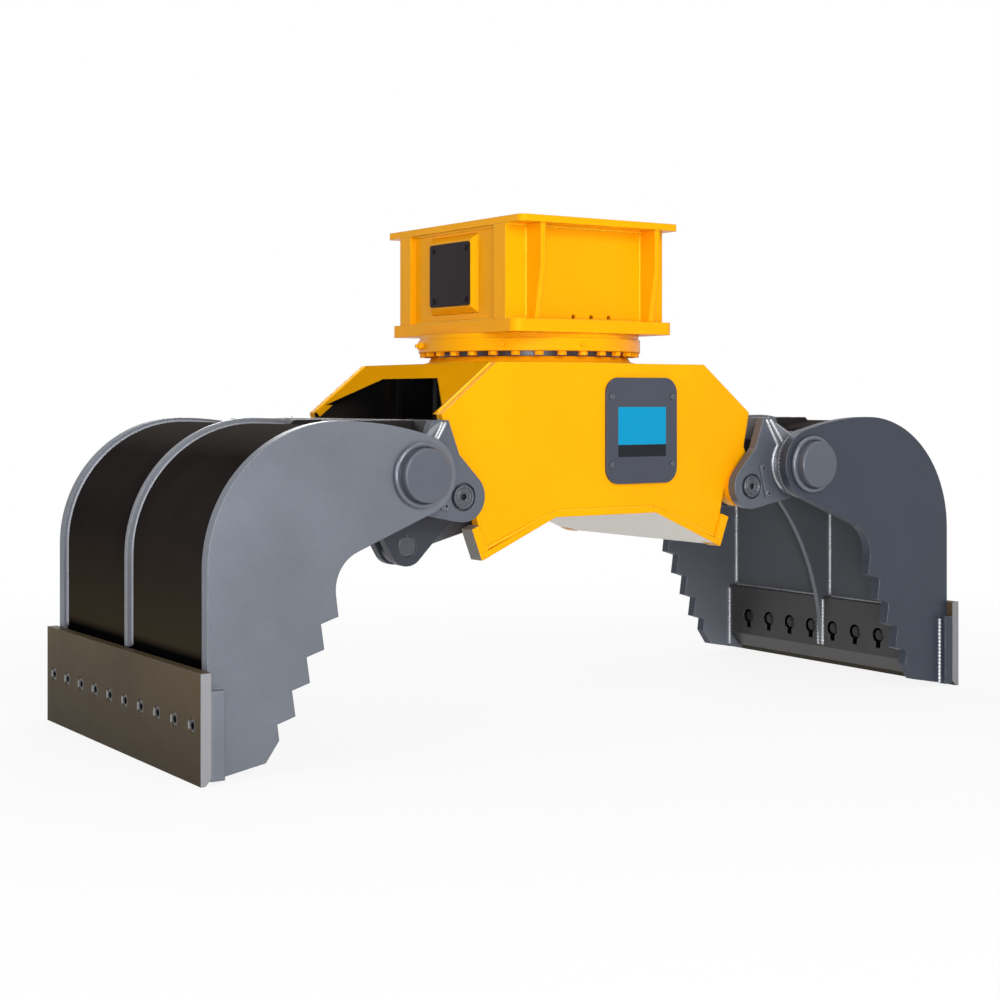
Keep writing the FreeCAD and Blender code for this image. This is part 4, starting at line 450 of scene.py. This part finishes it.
black_paint = surface("black_paint", PAINT_BLACK, 0.34, specular=0.4, variation=0.2)
plate_grey = surface("cover_plate_grey", PLATE_GREY, 0.42, specular=0.12, grain=0.2, variation=0.06,
                     edge_colour=PLATE_EDGE, edge_amount=0.5, dress=plate_dress)
steel = surface("bare_steel_worn", STEEL, 0.36, metallic=0.85, grain=0.3)
dark_steel = surface("dark_steel", DARK_STEEL, 0.36, metallic=0.5, grain=0.3, edge_colour=GREY_EDGE)
chrome = surface("chrome_rod", CHROME, 0.10, metallic=1.0, variation=0.02, edge_amount=0.1)

# Materials of the jaws
jaw_grey = surface("jaw_grey", GREY, 0.42, metallic=0.35, specular=0.3, grain=0.85, grain_scale=520.0,
                   edge_colour=GREY_EDGE, edge_amount=0.5)
# Same plate paint as the left jaw, darker as painted shade
jaw_grey_right_shaded = surface("jaw_grey_right_shaded", RIGHT_GREY_SHADED, 0.42, metallic=0.35, specular=0.3, grain=0.75,
                         grain_scale=700.0, variation=0.08, edge_colour=GREY_EDGE, dress=plate_inside_lit)
lug_grey = surface("lug_grey", LUG_GREY, 0.36, metallic=0.3, specular=0.25, grain=0.4, variation=0.1,
                   edge_colour=GREY_EDGE)
ear_grey = surface("ear_grey", EAR_GREY, 0.36, metallic=0.3, specular=0.3, grain=0.4, variation=0.1,
                   edge_colour=GREY_EDGE, edge_amount=0.5)
shell_black = surface("shell_black", BLACK, 0.36, specular=0.0, grain=0.1, variation=0.25,
                      edge_colour=BLACK_EDGE, edge_amount=0.5, dress=shell_light_and_shade)
closing_grey = surface("closing_grey", CLOSING_GREY, 0.36, metallic=0.3, specular=0.2, grain=0.3,
                       edge_colour=GREY_EDGE, edge_amount=0.5, dress=closing_dress)
wing_grey = surface("wing_grey", WING_GREY, 0.32, metallic=0.35, specular=0.3, grain=0.3,
                    edge_colour=WING_EDGE, edge_amount=0.6)
rib_grey = surface("rib_grey", RIB_GREY, 0.38, metallic=0.3, specular=0.2, grain=0.4, variation=0.1,
                   edge_colour=GREY_EDGE, edge_amount=0.8, dress=rib_dress)
bar_grey = surface("bar_grey", BAR_GREY, 0.40, metallic=0.2, specular=0.3, grain=0.4, variation=0.15,
                   edge_colour=BAR_EDGE, edge_amount=0.6, dress=bar_pocket_shade)
blade_brown = surface("blade_browned", BLADE, 0.42, specular=0.03, grain=0.35, variation=0.14,
                      edge_colour=BLADE_EDGE, edge_amount=0.7, dress=blade_dress)
bolt_black = surface("bolt_black", BOLT_BLACK, 0.26, metallic=0.3, variation=0.2, edge_colour=BOLT_EDGE,
                     edge_amount=0.5, edge_width=0.001)
bead_grey = surface("weld_grey", BEAD_GREY, 0.34, metallic=0.3, grain=0.3, variation=0.15)
# Weld metal painted lighter as a highlight
bead_highlit = surface("weld_highlit", BEAD_HIGHLIT, 0.28, metallic=0.45, grain=0.5, grain_scale=400.0,
                      variation=0.25)
collar_grey = surface("collar_grey", COLLAR_GREY, 0.24, metallic=0.45, grain=0.15, variation=0.1)
# Painted shade for the bottoms of the sockets
socket_painted_shade = surface("socket_painted_shade", SOCKET_SHADE, 0.30, specular=0.3, variation=0.2)
pin_grey = surface("pin_grey", PIN_GREY, 0.28, metallic=0.45, specular=0.4, grain=0.25,
                   edge_colour=PIN_EDGE, edge_amount=0.9, edge_width=0.0015)
keeper_grey = surface("keeper_grey", KEEPER_GREY, 0.32, metallic=0.35, specular=0.4, grain=0.3,
                      edge_colour=KEEPER_EDGE, edge_amount=0.9, edge_width=0.0015)

FINISH = {
    "cheek_plates": yellow_cheek, "sloped_end_plates": yellow_slope_shaded, "deck_plate": yellow_slope_shaded,
    "underside_plates": yellow_under, "foot_plates": yellow_foot, "inner_webs": inside_black,
    "pivot_hubs": yellow, "ring_seat": yellow, "head_base_plate": yellow, "head_gussets": yellow,
    "head_top_plate": yellow, "head_walls": yellow, "hatch_boxes": yellow, "outer_race": yellow,
    "spacer_drum": yellow, "race_bolts": yellow, "race_fittings": yellow, "ring_gear": dark_steel,
    "drive_pinion": dark_steel, "union_stem": steel, "rotary_union": black_paint,
    "slewing_motor": black_paint, "hatch_cover": hatch_black, "hatch_cover_screws": hatch_black,
    "cover_plate": plate_grey, "cover_plate_screws": dark_steel, "front_rod": chrome, "rear_rod": chrome,
    "front_barrel": black_paint, "rear_barrel": black_paint, "front_rod_eye": black_paint,
    "rear_rod_eye": black_paint, "sync_link": dark_steel,
}
JAW_FINISH = {
    "shell": shell_black, "ribs": rib_grey, "backing_bar": bar_grey, "blade": blade_brown,
    "blade_bolts": bolt_black, "torque_tube": ear_grey, "tube_caps": ear_grey, "ear_plates": ear_grey,
    "lever_plates": lug_grey, "closing_plate": closing_grey, "pins": dark_steel, "pin_keepers": dark_steel,
}
for side, sign in JAWS:
    FINISH[side + "_side_plates"] = jaw_grey if side == "left" else jaw_grey_right_shaded
    for part, material in JAW_FINISH.items():
        FINISH["%s_%s" % (side, part)] = material
for name, material in FINISH.items():
    slots = nodes[name].data.materials
    if not len(slots):
        slots.append(material)
    for index in range(len(slots)):
        slots[index] = material
for name in nodes:
    if name not in FINISH:
        raise RuntimeError("no finish for " + name)

# Lines and pieces, all lengths from here on in millimetres
MM = 0.001
STEP = 4.0
SIDES, FEW_SIDES, MANY_SIDES = 48, 24, 96
SHARP_ANGLE = 32
HEX = 60.0


def arc_points(centre, radius, start, end, step=STEP):
    """Points on an arc in the XZ plane, angles in degrees from +X."""
    count = max(2, int(abs(end - start) * math.pi / 180 * radius / step))
    turns = (start + (end - start) * i / count for i in range(count + 1))
    return [(centre[0] + radius * math.cos(math.radians(t)), centre[1] + radius * math.sin(math.radians(t)))
            for t in turns]


def circle_points(centre, radius):
    return arc_points(centre, radius, 0, 360)[:-1]


def straight(a, b, step=STEP):
    count = max(1, int(math.dist(a, b) / step))
    return [tuple(p + (q - p) * i / count for p, q in zip(a, b)) for i in range(count + 1)]


def upright(x, low, count, step=STEP):
    """Points straight up from a height."""
    return [(x, low + step * i) for i in range(count)]


def level_run(start, count):
    """Places along a level line."""
    return [start + STEP * i for i in range(count)]


def at_y(run, y, sign=1):
    """XZ points of the right jaw at a place along Y, turned half a turn for the left jaw."""
    return [(sign * x, sign * y, z) for x, z in run]


def add_piece(name, vertices, faces, material, body, sharp_angle=None):
    """Object with smooth faces that rides on a body; sharp_angle also mends and splits its normals."""
    mesh = bpy.data.meshes.new(name)
    mesh.from_pydata(vertices, [], faces)
    if sharp_angle:
        mesh.validate()
        mesh.update()
        fix = bmesh.new()
        fix.from_mesh(mesh)
        bmesh.ops.recalc_face_normals(fix, faces=fix.faces)
        fix.to_mesh(mesh)
        fix.free()
    mesh.materials.append(material)
    for polygon in mesh.polygons:
        polygon.use_smooth = True
    if sharp_angle:
        mesh.set_sharp_from_angle(angle=math.radians(sharp_angle))
    obj = bpy.data.objects.new(name, mesh)
    scene.collection.objects.link(obj)
    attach(obj, body)
    return obj


BEAD_PITCH, BEAD_SIDES, BEAD_TAPER = 10.0, 6, 0.35
SIDEWAYS = Vector((0.31, 0.52, 0.79))


def bead(name, points, radius, body, slot_name, material, closed=False, ripple=0.16, sides=BEAD_SIDES,
         pitch=BEAD_PITCH):
    """Weld bead along points, with the ripples of its passes and tapered ends."""
    line = [Vector(p) for p in points]
    vertices, faces = [], []
    travelled = 0.0
    count = len(line)
    for index, point in enumerate(line):
        before = line[index - 1] if index or closed else point
        after = line[(index + 1) % count] if index < count - 1 or closed else point
        run = (after - before).normalized()
        across = run.cross(SIDEWAYS)
        if across.length < 0.1:
            across = run.cross(Vector((1, 0, 0)))
        across.normalize()
        up = run.cross(across)
        if index:
            travelled += (point - line[index - 1]).length
        swell = radius * (1 + ripple * math.sin(2 * math.pi * travelled / pitch))
        if not closed and index in (0, count - 1):
            swell *= BEAD_TAPER
        for side in range(sides):
            turn = 2 * math.pi * side / sides
            vertices.append((point + (across * math.cos(turn) + up * math.sin(turn)) * swell) * MM)
    for index in range(count if closed else count - 1):
        a = index * sides
        b = ((index + 1) % count) * sides
        for side in range(sides):
            beside = (side + 1) % sides
            faces.append((a + side, a + beside, b + beside, b + side))
    if not closed:
        faces.append(tuple(range(sides))[::-1])
        faces.append(tuple((count - 1) * sides + s for s in range(sides)))
    add_piece(name, vertices, faces, material, body)


def turned(name, bodies, sign, body, material, slot_name, stands_for=None):
    """One object from several bodies, turned half a turn for the left jaw."""
    vertices, faces = [], []
    for points, polygons in bodies:
        first = len(vertices)
        vertices += [(sign * x * MM, sign * y * MM, z * MM) for x, y, z in points]
        faces += [tuple(first + i for i in polygon) for polygon in polygons]
    obj = add_piece(name, vertices, faces, material, body, SHARP_ANGLE)
    if stands_for:
        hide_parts(stands_for)


def ring_of(across_hex, radius, sides):
    """Angles and radii round a ring: a circle, or a hexagon of the given width across flats."""
    turns = [360.0 * i / sides for i in range(sides)]
    if across_hex:
        return [(t, across_hex / 2 / math.cos(math.radians(t % HEX - HEX / 2))) for t in turns]
    return [(t, radius) for t in turns]


def lathe(profile, at, axis, sides=SIDES):
    """Closed turned body: profile rows are (place along the axis, radius, width across flats or 0)."""
    vertices, faces = [], []
    for along, radius, across_hex in profile:
        for turn, reach in ring_of(across_hex, radius, sides):
            a, b = reach * math.cos(math.radians(turn)), reach * math.sin(math.radians(turn))
            vertices.append((along, at[1] + a, at[2] + b) if axis == "X" else (at[0] + a, along, at[2] + b))
    for row in range(len(profile) - 1):
        for i in range(sides):
            j = (i + 1) % sides
            faces.append((row * sides + i, row * sides + j, (row + 1) * sides + j, (row + 1) * sides + i))
    last = (len(profile) - 1) * sides
    faces.append(tuple(range(sides))[::-1])
    faces.append(tuple(last + i for i in range(sides)))
    return vertices, faces


def lathe_across(rows, at, y, sides=SIDES):
    """Turned body along Y at a place in the XZ plane; y is -1 for the near end and 1 for the far end."""
    rows = [tuple(row) + (0,) * (3 - len(row)) for row in rows]
    return lathe([(y * along, radius, hexed) for along, radius, hexed in rows], (at[0], 0, at[1]), "Y", sides)


def extruded(outline, low, high):
    """Flat outline in the XZ plane, carried from one place along Y to another."""
    count = len(outline)
    points = [(x, low, z) for x, z in outline] + [(x, high, z) for x, z in outline]
    polygons = [tuple(range(count)), tuple(range(count, 2 * count))]
    polygons += [(i, (i + 1) % count, count + (i + 1) % count, count + i) for i in range(count)]
    return points, polygons


# Weld beads of the jaws
BACK_X, BEND_Z, BEND_R = 1104.0, 435.0, 305.0
BEND = (BACK_X - BEND_R, BEND_Z)
TUBE, TUBE_R, BOSS_R = (592.0, 619.0), 84.0, 90.0
side_run = TUBE[0] - BEND[0]
drop = BEND_Z + BEND_R - TUBE[1]
CROWN_R = (side_run ** 2 + drop ** 2 - BOSS_R ** 2) / (2 * (drop - BOSS_R))
CROWN = (BEND[0], BEND_Z + BEND_R - CROWN_R)
PLATE_INNER = 402.0
RIB_HALF = 7.0
SHELL_OUT, SHELL_IN = 10.0, 26.0
OUTER_LOW, OUTER_END, INNER_LOW, INNER_END = 234.0, 640.0, 210.0, 680.0
BAR_TOP_X, BAR_TOP_Z, BAR_TOP_Y = 1078.0, 206.0, (398.0, 12.0)
BAR_FACE_X = 1048.0
CAP_FACE, COLLAR_R, COLLAR_THICK = 436.0, 67.0, 7.0
COLLAR = {"closed": True, "ripple": 0.02, "sides": 12}
ROUGH = {"ripple": 0.3}
END_BAR_X, END_BAR_Y = 1073.0, 431.0


def back_run(depth, low_z, end_x):
    """Line on the jaw's back, set in by depth from the side plate's edge, in the XZ plane."""
    crown_r = CROWN_R - depth
    end_angle = math.degrees(math.acos((end_x - CROWN[0]) / crown_r))
    run = straight((BACK_X - depth, low_z), (BACK_X - depth, BEND_Z))
    run += arc_points(BEND, BEND_R - depth, 0, 90)[1:]
    return run + arc_points(CROWN, crown_r, 90, end_angle)[1:]


def bar_run(y):
    """Line along the top of the backing bar, from the side plate to the middle rib."""
    outer, inner = BAR_TOP_Y
    return straight((BAR_TOP_X, y * outer, BAR_TOP_Z), (BAR_TOP_X, y * inner, BAR_TOP_Z))


OUTER_RUN = back_run(SHELL_OUT, OUTER_LOW, OUTER_END)
INNER_RUN = back_run(SHELL_IN, INNER_LOW, INNER_END)
COLLAR_RUN = circle_points(TUBE, COLLAR_R)
CORNER_RUN = upright(BAR_FACE_X, 22.0, 46)
WEB_RUN = upright(BAR_FACE_X, 66.0, 35)
BOSS_RUN = circle_points(TUBE, TUBE_R + 1)
END_RUN = upright(END_BAR_X, 9.0, 60, 3.0)
for side, sign in JAWS:
    for tag, y in FLANKS:
        bar_line = [(sign * x, sign * along, z) for x, along, z in bar_run(y)]
        beads = (
            ("back", at_y(OUTER_RUN, y * (PLATE_INNER - 2), sign), 5.5, bead_grey, {}),
            ("rib", at_y(OUTER_RUN, y * (RIB_HALF + 2), sign), 4.5, bead_grey, {}),
            ("in", at_y(INNER_RUN, y * (PLATE_INNER - 1), sign), 6.5, bead_highlit, ROUGH),
            ("web", at_y(INNER_RUN, y * (RIB_HALF + 1), sign), 5.5, bead_highlit, ROUGH),
            ("bar", bar_line, 5.0, bead_highlit, {}),
            ("cap", at_y(COLLAR_RUN, y * CAP_FACE, sign), COLLAR_THICK, collar_grey, COLLAR),
            ("corner", at_y(CORNER_RUN, y * (PLATE_INNER - 2), sign), 5.5, bead_highlit, ROUGH),
            ("foot", at_y(WEB_RUN, y * (RIB_HALF + 1.5), sign), 5.0, bead_highlit, ROUGH),
            ("tube", at_y(BOSS_RUN, y * (PLATE_INNER - 1), sign), 6.0, bead_grey, {"closed": True}),
            ("end", at_y(END_RUN, y * END_BAR_Y, sign), 4.5, bead_highlit, ROUGH),
        )
        for kind, line, radius, material, options in beads:
            bead("%s_weld_%s_%s" % (side, kind, tag), line, radius, side + "_jaw", "grey_paint", material,
                 **options)

# Blade bolts: countersunk heads with a socket, and nuts in the pockets of the backing bar
BOLT_FACE, BOLT_SUNK, BOLT_Z, BOLT_PITCH, BOLT_COUNT = 1128.0, 2.5, 118.0, 90.0, 10
HEAD_TOP_R, HEAD_FOOT_R, HEAD_DEPTH, HEAD_RIM, SHANK_R = 15.9, 10.0, 11.0, 1.2, 10.0
SOCKET, SOCKET_DEPTH = 15.0, 8.0
NUT_ACROSS, NUT_R, NUT_RIM, NUT_LOW, NUT_HIGH = 30.0, 14.0, 1.5, 1054.0, 1072.0
SHANK_END, SHORT_END, NUTS_REACH = 1052.0, 1104.0, 360.0


def blade_bolt(y):
    """Bolt through the blade, with its nut; the outer pair ends in the side plates."""
    top = BOLT_FACE - BOLT_SUNK
    outer = abs(y) > NUTS_REACH
    head = [(top - SOCKET_DEPTH, 0, SOCKET), (top, 0, SOCKET), (top, HEAD_TOP_R - HEAD_RIM, 0),
            (top - HEAD_RIM, HEAD_TOP_R, 0), (BOLT_FACE - HEAD_DEPTH, HEAD_FOOT_R, 0),
            (SHORT_END if outer else SHANK_END, SHANK_R, 0)]
    bodies = [lathe(head, (0, y, BOLT_Z), "X", FEW_SIDES)]
    if not outer:
        nut = [(NUT_LOW, SHANK_R, 0), (NUT_LOW, NUT_R, 0), (NUT_LOW + NUT_RIM, 0, NUT_ACROSS),
               (NUT_HIGH - NUT_RIM, 0, NUT_ACROSS), (NUT_HIGH, NUT_R, 0), (NUT_HIGH, SHANK_R, 0)]
        bodies.append(lathe(nut, (0, y, BOLT_Z), "X", FEW_SIDES))
    return bodies


# Pins: the pivot pin's end is set into the ear, with a raised disc and a small socket
EAR_FACE, PIVOT_INNER = 368.0, 256.0
PIVOT, PIVOT_R = (441.0, 563.0), 33.0
PIN_END = ((-9, PIVOT_R), (-9, 27.5), (0.5, 27.5), (2.2, 27.0), (3.4, 25.6), (3.4, 22.8), (2.2, 21.2),
           (-0.4, 19.6), (-0.4, 17.8), (1.4, 16.4), (1.4, 8.6), (0.6, 7.8), (-9, 7.6))
PIN_FLOOR = ((-8.5, 7.5), (-3.0, 7.5))
LEVER, LEVER_R, LEVER_OUTER, LEVER_INNER = (344.6, 677.9), 24.0, 278.0, 40.0
LUG, LUG_INNER = (537.4, 448.1), 200.0
CHAMFER = 2


def pivot_pin(y):
    rows = [(PIVOT_INNER, PIVOT_R)] + [(EAR_FACE + out, radius) for out, radius in PIN_END]
    return lathe_across(rows, PIVOT, y)


def plain_pin(at, radius, outer, inner, y):
    rows = [(inner, radius - CHAMFER), (inner + CHAMFER, radius), (outer - CHAMFER, radius),
            (outer, radius - CHAMFER)]
    return lathe_across(rows, at, y)


# Keepers: flat bars beside the pivot pins, held by two socket screws each
KEEPER_ENDS = (((493.0, 544.0), -1), ((475.0, 609.0), 1))
KEEPER_HALF, KEEPER_TOP, KEEPER_RIM = 9.0, 374.0, 1.2
SCREW = ((0.0, 7.5, 0), (3.0, 7.5, 0), (4.0, 6.6, 0), (4.0, 0, 6.5), (1.0, 0, 6.5))
SCREW_FLOOR = ((0.8, 3.2), (2.0, 3.2))


def keeper(y):
    """Flat bar with square ends, its edges chamfered."""
    (low, _), (high, _) = KEEPER_ENDS
    run = (Vector(high) - Vector(low)).normalized()
    out = Vector((run[1], -run[0]))
    corners = []
    for level, inset in ((EAR_FACE, 0.0), (KEEPER_TOP - KEEPER_RIM, 0.0), (KEEPER_TOP, KEEPER_RIM)):
        for end, away in KEEPER_ENDS:
            for flank in (-away, away):
                spot = Vector(end) + run * away * (KEEPER_HALF + 1 - inset)
                spot += out * flank * (KEEPER_HALF - inset)
                corners.append((spot[0], y * level, spot[1]))
    faces = [(0, 1, 2, 3), (8, 9, 10, 11)]
    for first in (0, 4):
        for i in range(4):
            beside = (i + 1) % 4
            faces.append((first + i, first + beside, first + 4 + beside, first + 4 + i))
    return corners, faces


def on_keeper(rows, at, y):
    """Turned body that stands on a keeper."""
    return lathe_across([(KEEPER_TOP + row[0],) + row[1:] for row in rows], at, y, FEW_SIDES)


for side, sign in JAWS:
    body = side + "_jaw"
    bolts, pins, keepers = [], [], []
    for index in range(BOLT_COUNT):
        bolts += blade_bolt((index - (BOLT_COUNT - 1) / 2) * BOLT_PITCH)
    turned(side + "_bolts_fine", bolts, sign, body, bolt_black, "bare_steel", side + "_blade_bolts")
    for _, y in FLANKS:
        pins.append(pivot_pin(y))
        pins.append(plain_pin(LEVER, LEVER_R, LEVER_OUTER, LEVER_INNER, y))
        keepers.append(keeper(y))
        keepers += [on_keeper(SCREW, at, y) for at, _ in KEEPER_ENDS]
    if side == "left":
        pins.append(plain_pin(LUG, LEVER_R, LEVER_OUTER, LUG_INNER, 1))
    turned(side + "_pins_fine", pins, sign, body, pin_grey, "bare_steel", side + "_pins")
    turned(side + "_keepers_fine", keepers, sign, body, keeper_grey, "bare_steel", side + "_pin_keepers")

# Painted shade: black discs at the bottoms of the sockets
for side, sign in JAWS:
    holes = []
    for _, y in FLANKS:
        holes.append(lathe_across([(EAR_FACE + out, radius) for out, radius in PIN_FLOOR], PIVOT, y))
        holes += [on_keeper(SCREW_FLOOR, at, y) for at, _ in KEEPER_ENDS]
    turned(side + "_socket_floors", holes, sign, side + "_jaw", socket_painted_shade, "bare_steel")

# Torque tube with slimmer necks, closing plate, and a wing on each neck outside the ear
CLOSING = [(508.8, 739.0), (524.0, 739.0), (545.0, 688.6), (540.5, 685.3), (536.2, 681.8), (532.1, 677.9)]
EAR_BACK, NECK_R, TUBE_END = 343.0, 66.0, 402.0
TUBE_HALF = [(EAR_FACE, TUBE_R), (EAR_FACE + 1, 81.0), (EAR_FACE + 6, 74.0), (EAR_FACE + 14, NECK_R + 1),
             (EAR_FACE + 18, NECK_R), (TUBE_END - 6, NECK_R), (TUBE_END - 2, NECK_R + 3),
             (TUBE_END, NECK_R + 8)]
WING = [(497.0, 368.0, 739.0), (538.6, 368.0, 660.0), (572.0, 402.0, 681.0)]
WING_THICK = 12.0
WING_FACES = [(0, 1, 2), (3, 4, 5), (0, 1, 4, 3), (1, 2, 5, 4), (2, 0, 3, 5)]
EAR_BEAD = [(x, EAR_FACE + 1, z)
            for x, z in straight((490.0, 735.0), (532.0, 664.0)) + arc_points(TUBE, 79.0, 141, 235)]
NECK_BEAD = straight((500.5, 372.0, 735.0), (546.0, 380.0, 664.0))
NECK_BEAD += [(x, EAR_FACE + 14, z) for x, z in arc_points(TUBE, NECK_R + 1, 133, 235)]


def wing(y):
    """Triangular plate, thickened away from the body."""
    a, b, c = (Vector(p) for p in WING)
    across = (b - a).cross(c - a).normalized() * WING_THICK
    across = across if across.x > 0 else -across
    corners = (a, b, c, a + across, b + across, c + across)
    return [(p.x, y * p.y, p.z) for p in corners], WING_FACES


for side, sign in JAWS:
    body = side + "_jaw"
    turned(side + "_closing_fine", [extruded(CLOSING, -EAR_BACK, EAR_BACK)], sign, body, closing_grey,
           "grey_paint", side + "_closing_plate")
    rows = [(-along, radius) for along, radius in TUBE_HALF[::-1]] + TUBE_HALF
    turned(side + "_tube_fine", [lathe_across(rows, TUBE, 1, MANY_SIDES)], sign, body, ear_grey,
           "grey_paint", side + "_torque_tube")
    for tag, y in FLANKS:
        turned("%s_wing_%s" % (side, tag), [wing(y)], sign, body, wing_grey, "grey_paint")
        for number, line in enumerate((EAR_BEAD, NECK_BEAD)):
            line = [(sign * x, sign * y * yy, z) for x, yy, z in line]
            bead("%s_ear_bead_%s_%d" % (side, tag, number), line, 3.8, body, "grey_paint", bead_highlit,
                 ripple=0.25, pitch=9.0)

# Underside, with the wide cut-out on the near side for the synchronising link's lug
LIP_Y, NOTCH_OUTER, NOTCH_INNER, NOTCH_X = 331.0, 283.0, -60.0, 255.0
SPIKE, SPIKE_TOP, RIDGE, RIDGE_TOP = (357.0, 414.0), (362.7, 426.8), (154.0, 504.0), (157.0, 518.0)
CUT_LOW, CUT_TOP = (NOTCH_X, 459.2), (NOTCH_X, 474.5)
SLOT_END, SLOT_LOW_Y, SLOT_HIGH_Y = 70.0, 219.0, 259.0
RIGHT_HALF = [RIDGE_TOP, SPIKE_TOP, SPIKE, RIDGE]


def mirrored_x(*points):
    return [(-x, z) for x, z in points]


whole = mirrored_x(SPIKE, SPIKE_TOP, RIDGE_TOP) + RIGHT_HALF + mirrored_x(RIDGE)
short = mirrored_x(CUT_LOW, CUT_TOP, RIDGE_TOP) + RIGHT_HALF + mirrored_x(RIDGE)
slotted = [(SLOT_END, RIDGE[1]), (SLOT_END, RIDGE_TOP[1])] + RIGHT_HALF
under = [extruded(whole, -LIP_Y, -NOTCH_OUTER), extruded(short, -NOTCH_OUTER, -SLOT_HIGH_Y),
         extruded(slotted, -SLOT_HIGH_Y, -SLOT_LOW_Y), extruded(short, -SLOT_LOW_Y, -NOTCH_INNER),
         extruded(whole, -NOTCH_INNER, LIP_Y)]
turned("underside_fine", under, 1, "body", yellow_under, "yellow_paint", "underside_plates")

# Weld beads of the body
SLOPE_BEAD, SLOPE_BEAD_Y = straight((320.0, 874.0), (468.0, 755.6)), 299.0
LOW_BEAD, LOW_BEAD_Y = straight((152.0, 518.0), (352.0, 437.5)), 324.5
MIDDLE_BEAD = [(x, RIDGE_TOP[1]) for x in level_run(-150.0, 76)]
SEAT_R, SEAT_Z = 271.0, 875.5
for tag, y in FLANKS:
    for end, sign in JAWS:
        slope = [(sign * x, y * SLOPE_BEAD_Y, z) for x, z in SLOPE_BEAD]
        bead("weld_slope_%s_%s" % (tag, end), slope, 3.5, "body", "yellow_paint", bead_yellow)
        low = [(sign * x, y * LOW_BEAD_Y, z) for x, z in LOW_BEAD]
        bead("weld_low_%s_%s" % (tag, end), low, 4.0, "body", "yellow_paint", bead_yellow)
    bead("weld_middle_" + tag, at_y(MIDDLE_BEAD, y * LOW_BEAD_Y), 4.0, "body", "yellow_paint", bead_yellow)
seat = [(x, y, SEAT_Z) for x, y in circle_points((0.0, 0.0), SEAT_R)]
bead("weld_ring_seat", seat, 4.5, "body", "yellow_paint", bead_yellow, closed=True)

# Weld beads of the head
HEAD_LOW, HEAD_HIGH, BEAD_IN = 981.0, 1212.0, 1.5
WALL_X, WALL_Y = 229.5, 248.5
GUSSET_X, GUSSET_HALF = 176.0, 8.5
LEVELS = (("low", HEAD_LOW + BEAD_IN), ("high", HEAD_HIGH - BEAD_IN))
for tag, y in FLANKS:
    for end, sign in JAWS:
        for face in (-1, 1):
            post = upright(sign * GUSSET_X + face * GUSSET_HALF, HEAD_LOW + 2, 57)
            bead("weld_gusset_%s_%s_%d" % (tag, end, face + 1), at_y(post, y * WALL_Y), 3.5, "head",
                 "yellow_paint", bead_yellow)
    for level, height in LEVELS:
        wall = [(x, y * WALL_Y, height) for x in level_run(-240.0, 121)]
        bead("weld_wall_%s_%s" % (tag, level), wall, 4.0, "head", "yellow_paint", bead_yellow)
for end, sign in JAWS:
    for level, height in LEVELS:
        wall = [(sign * WALL_X, y, height) for y in level_run(-190.0, 96)]
        bead("weld_side_%s_%s" % (end, level), wall, 4.0, "head", "yellow_paint", bead_yellow)
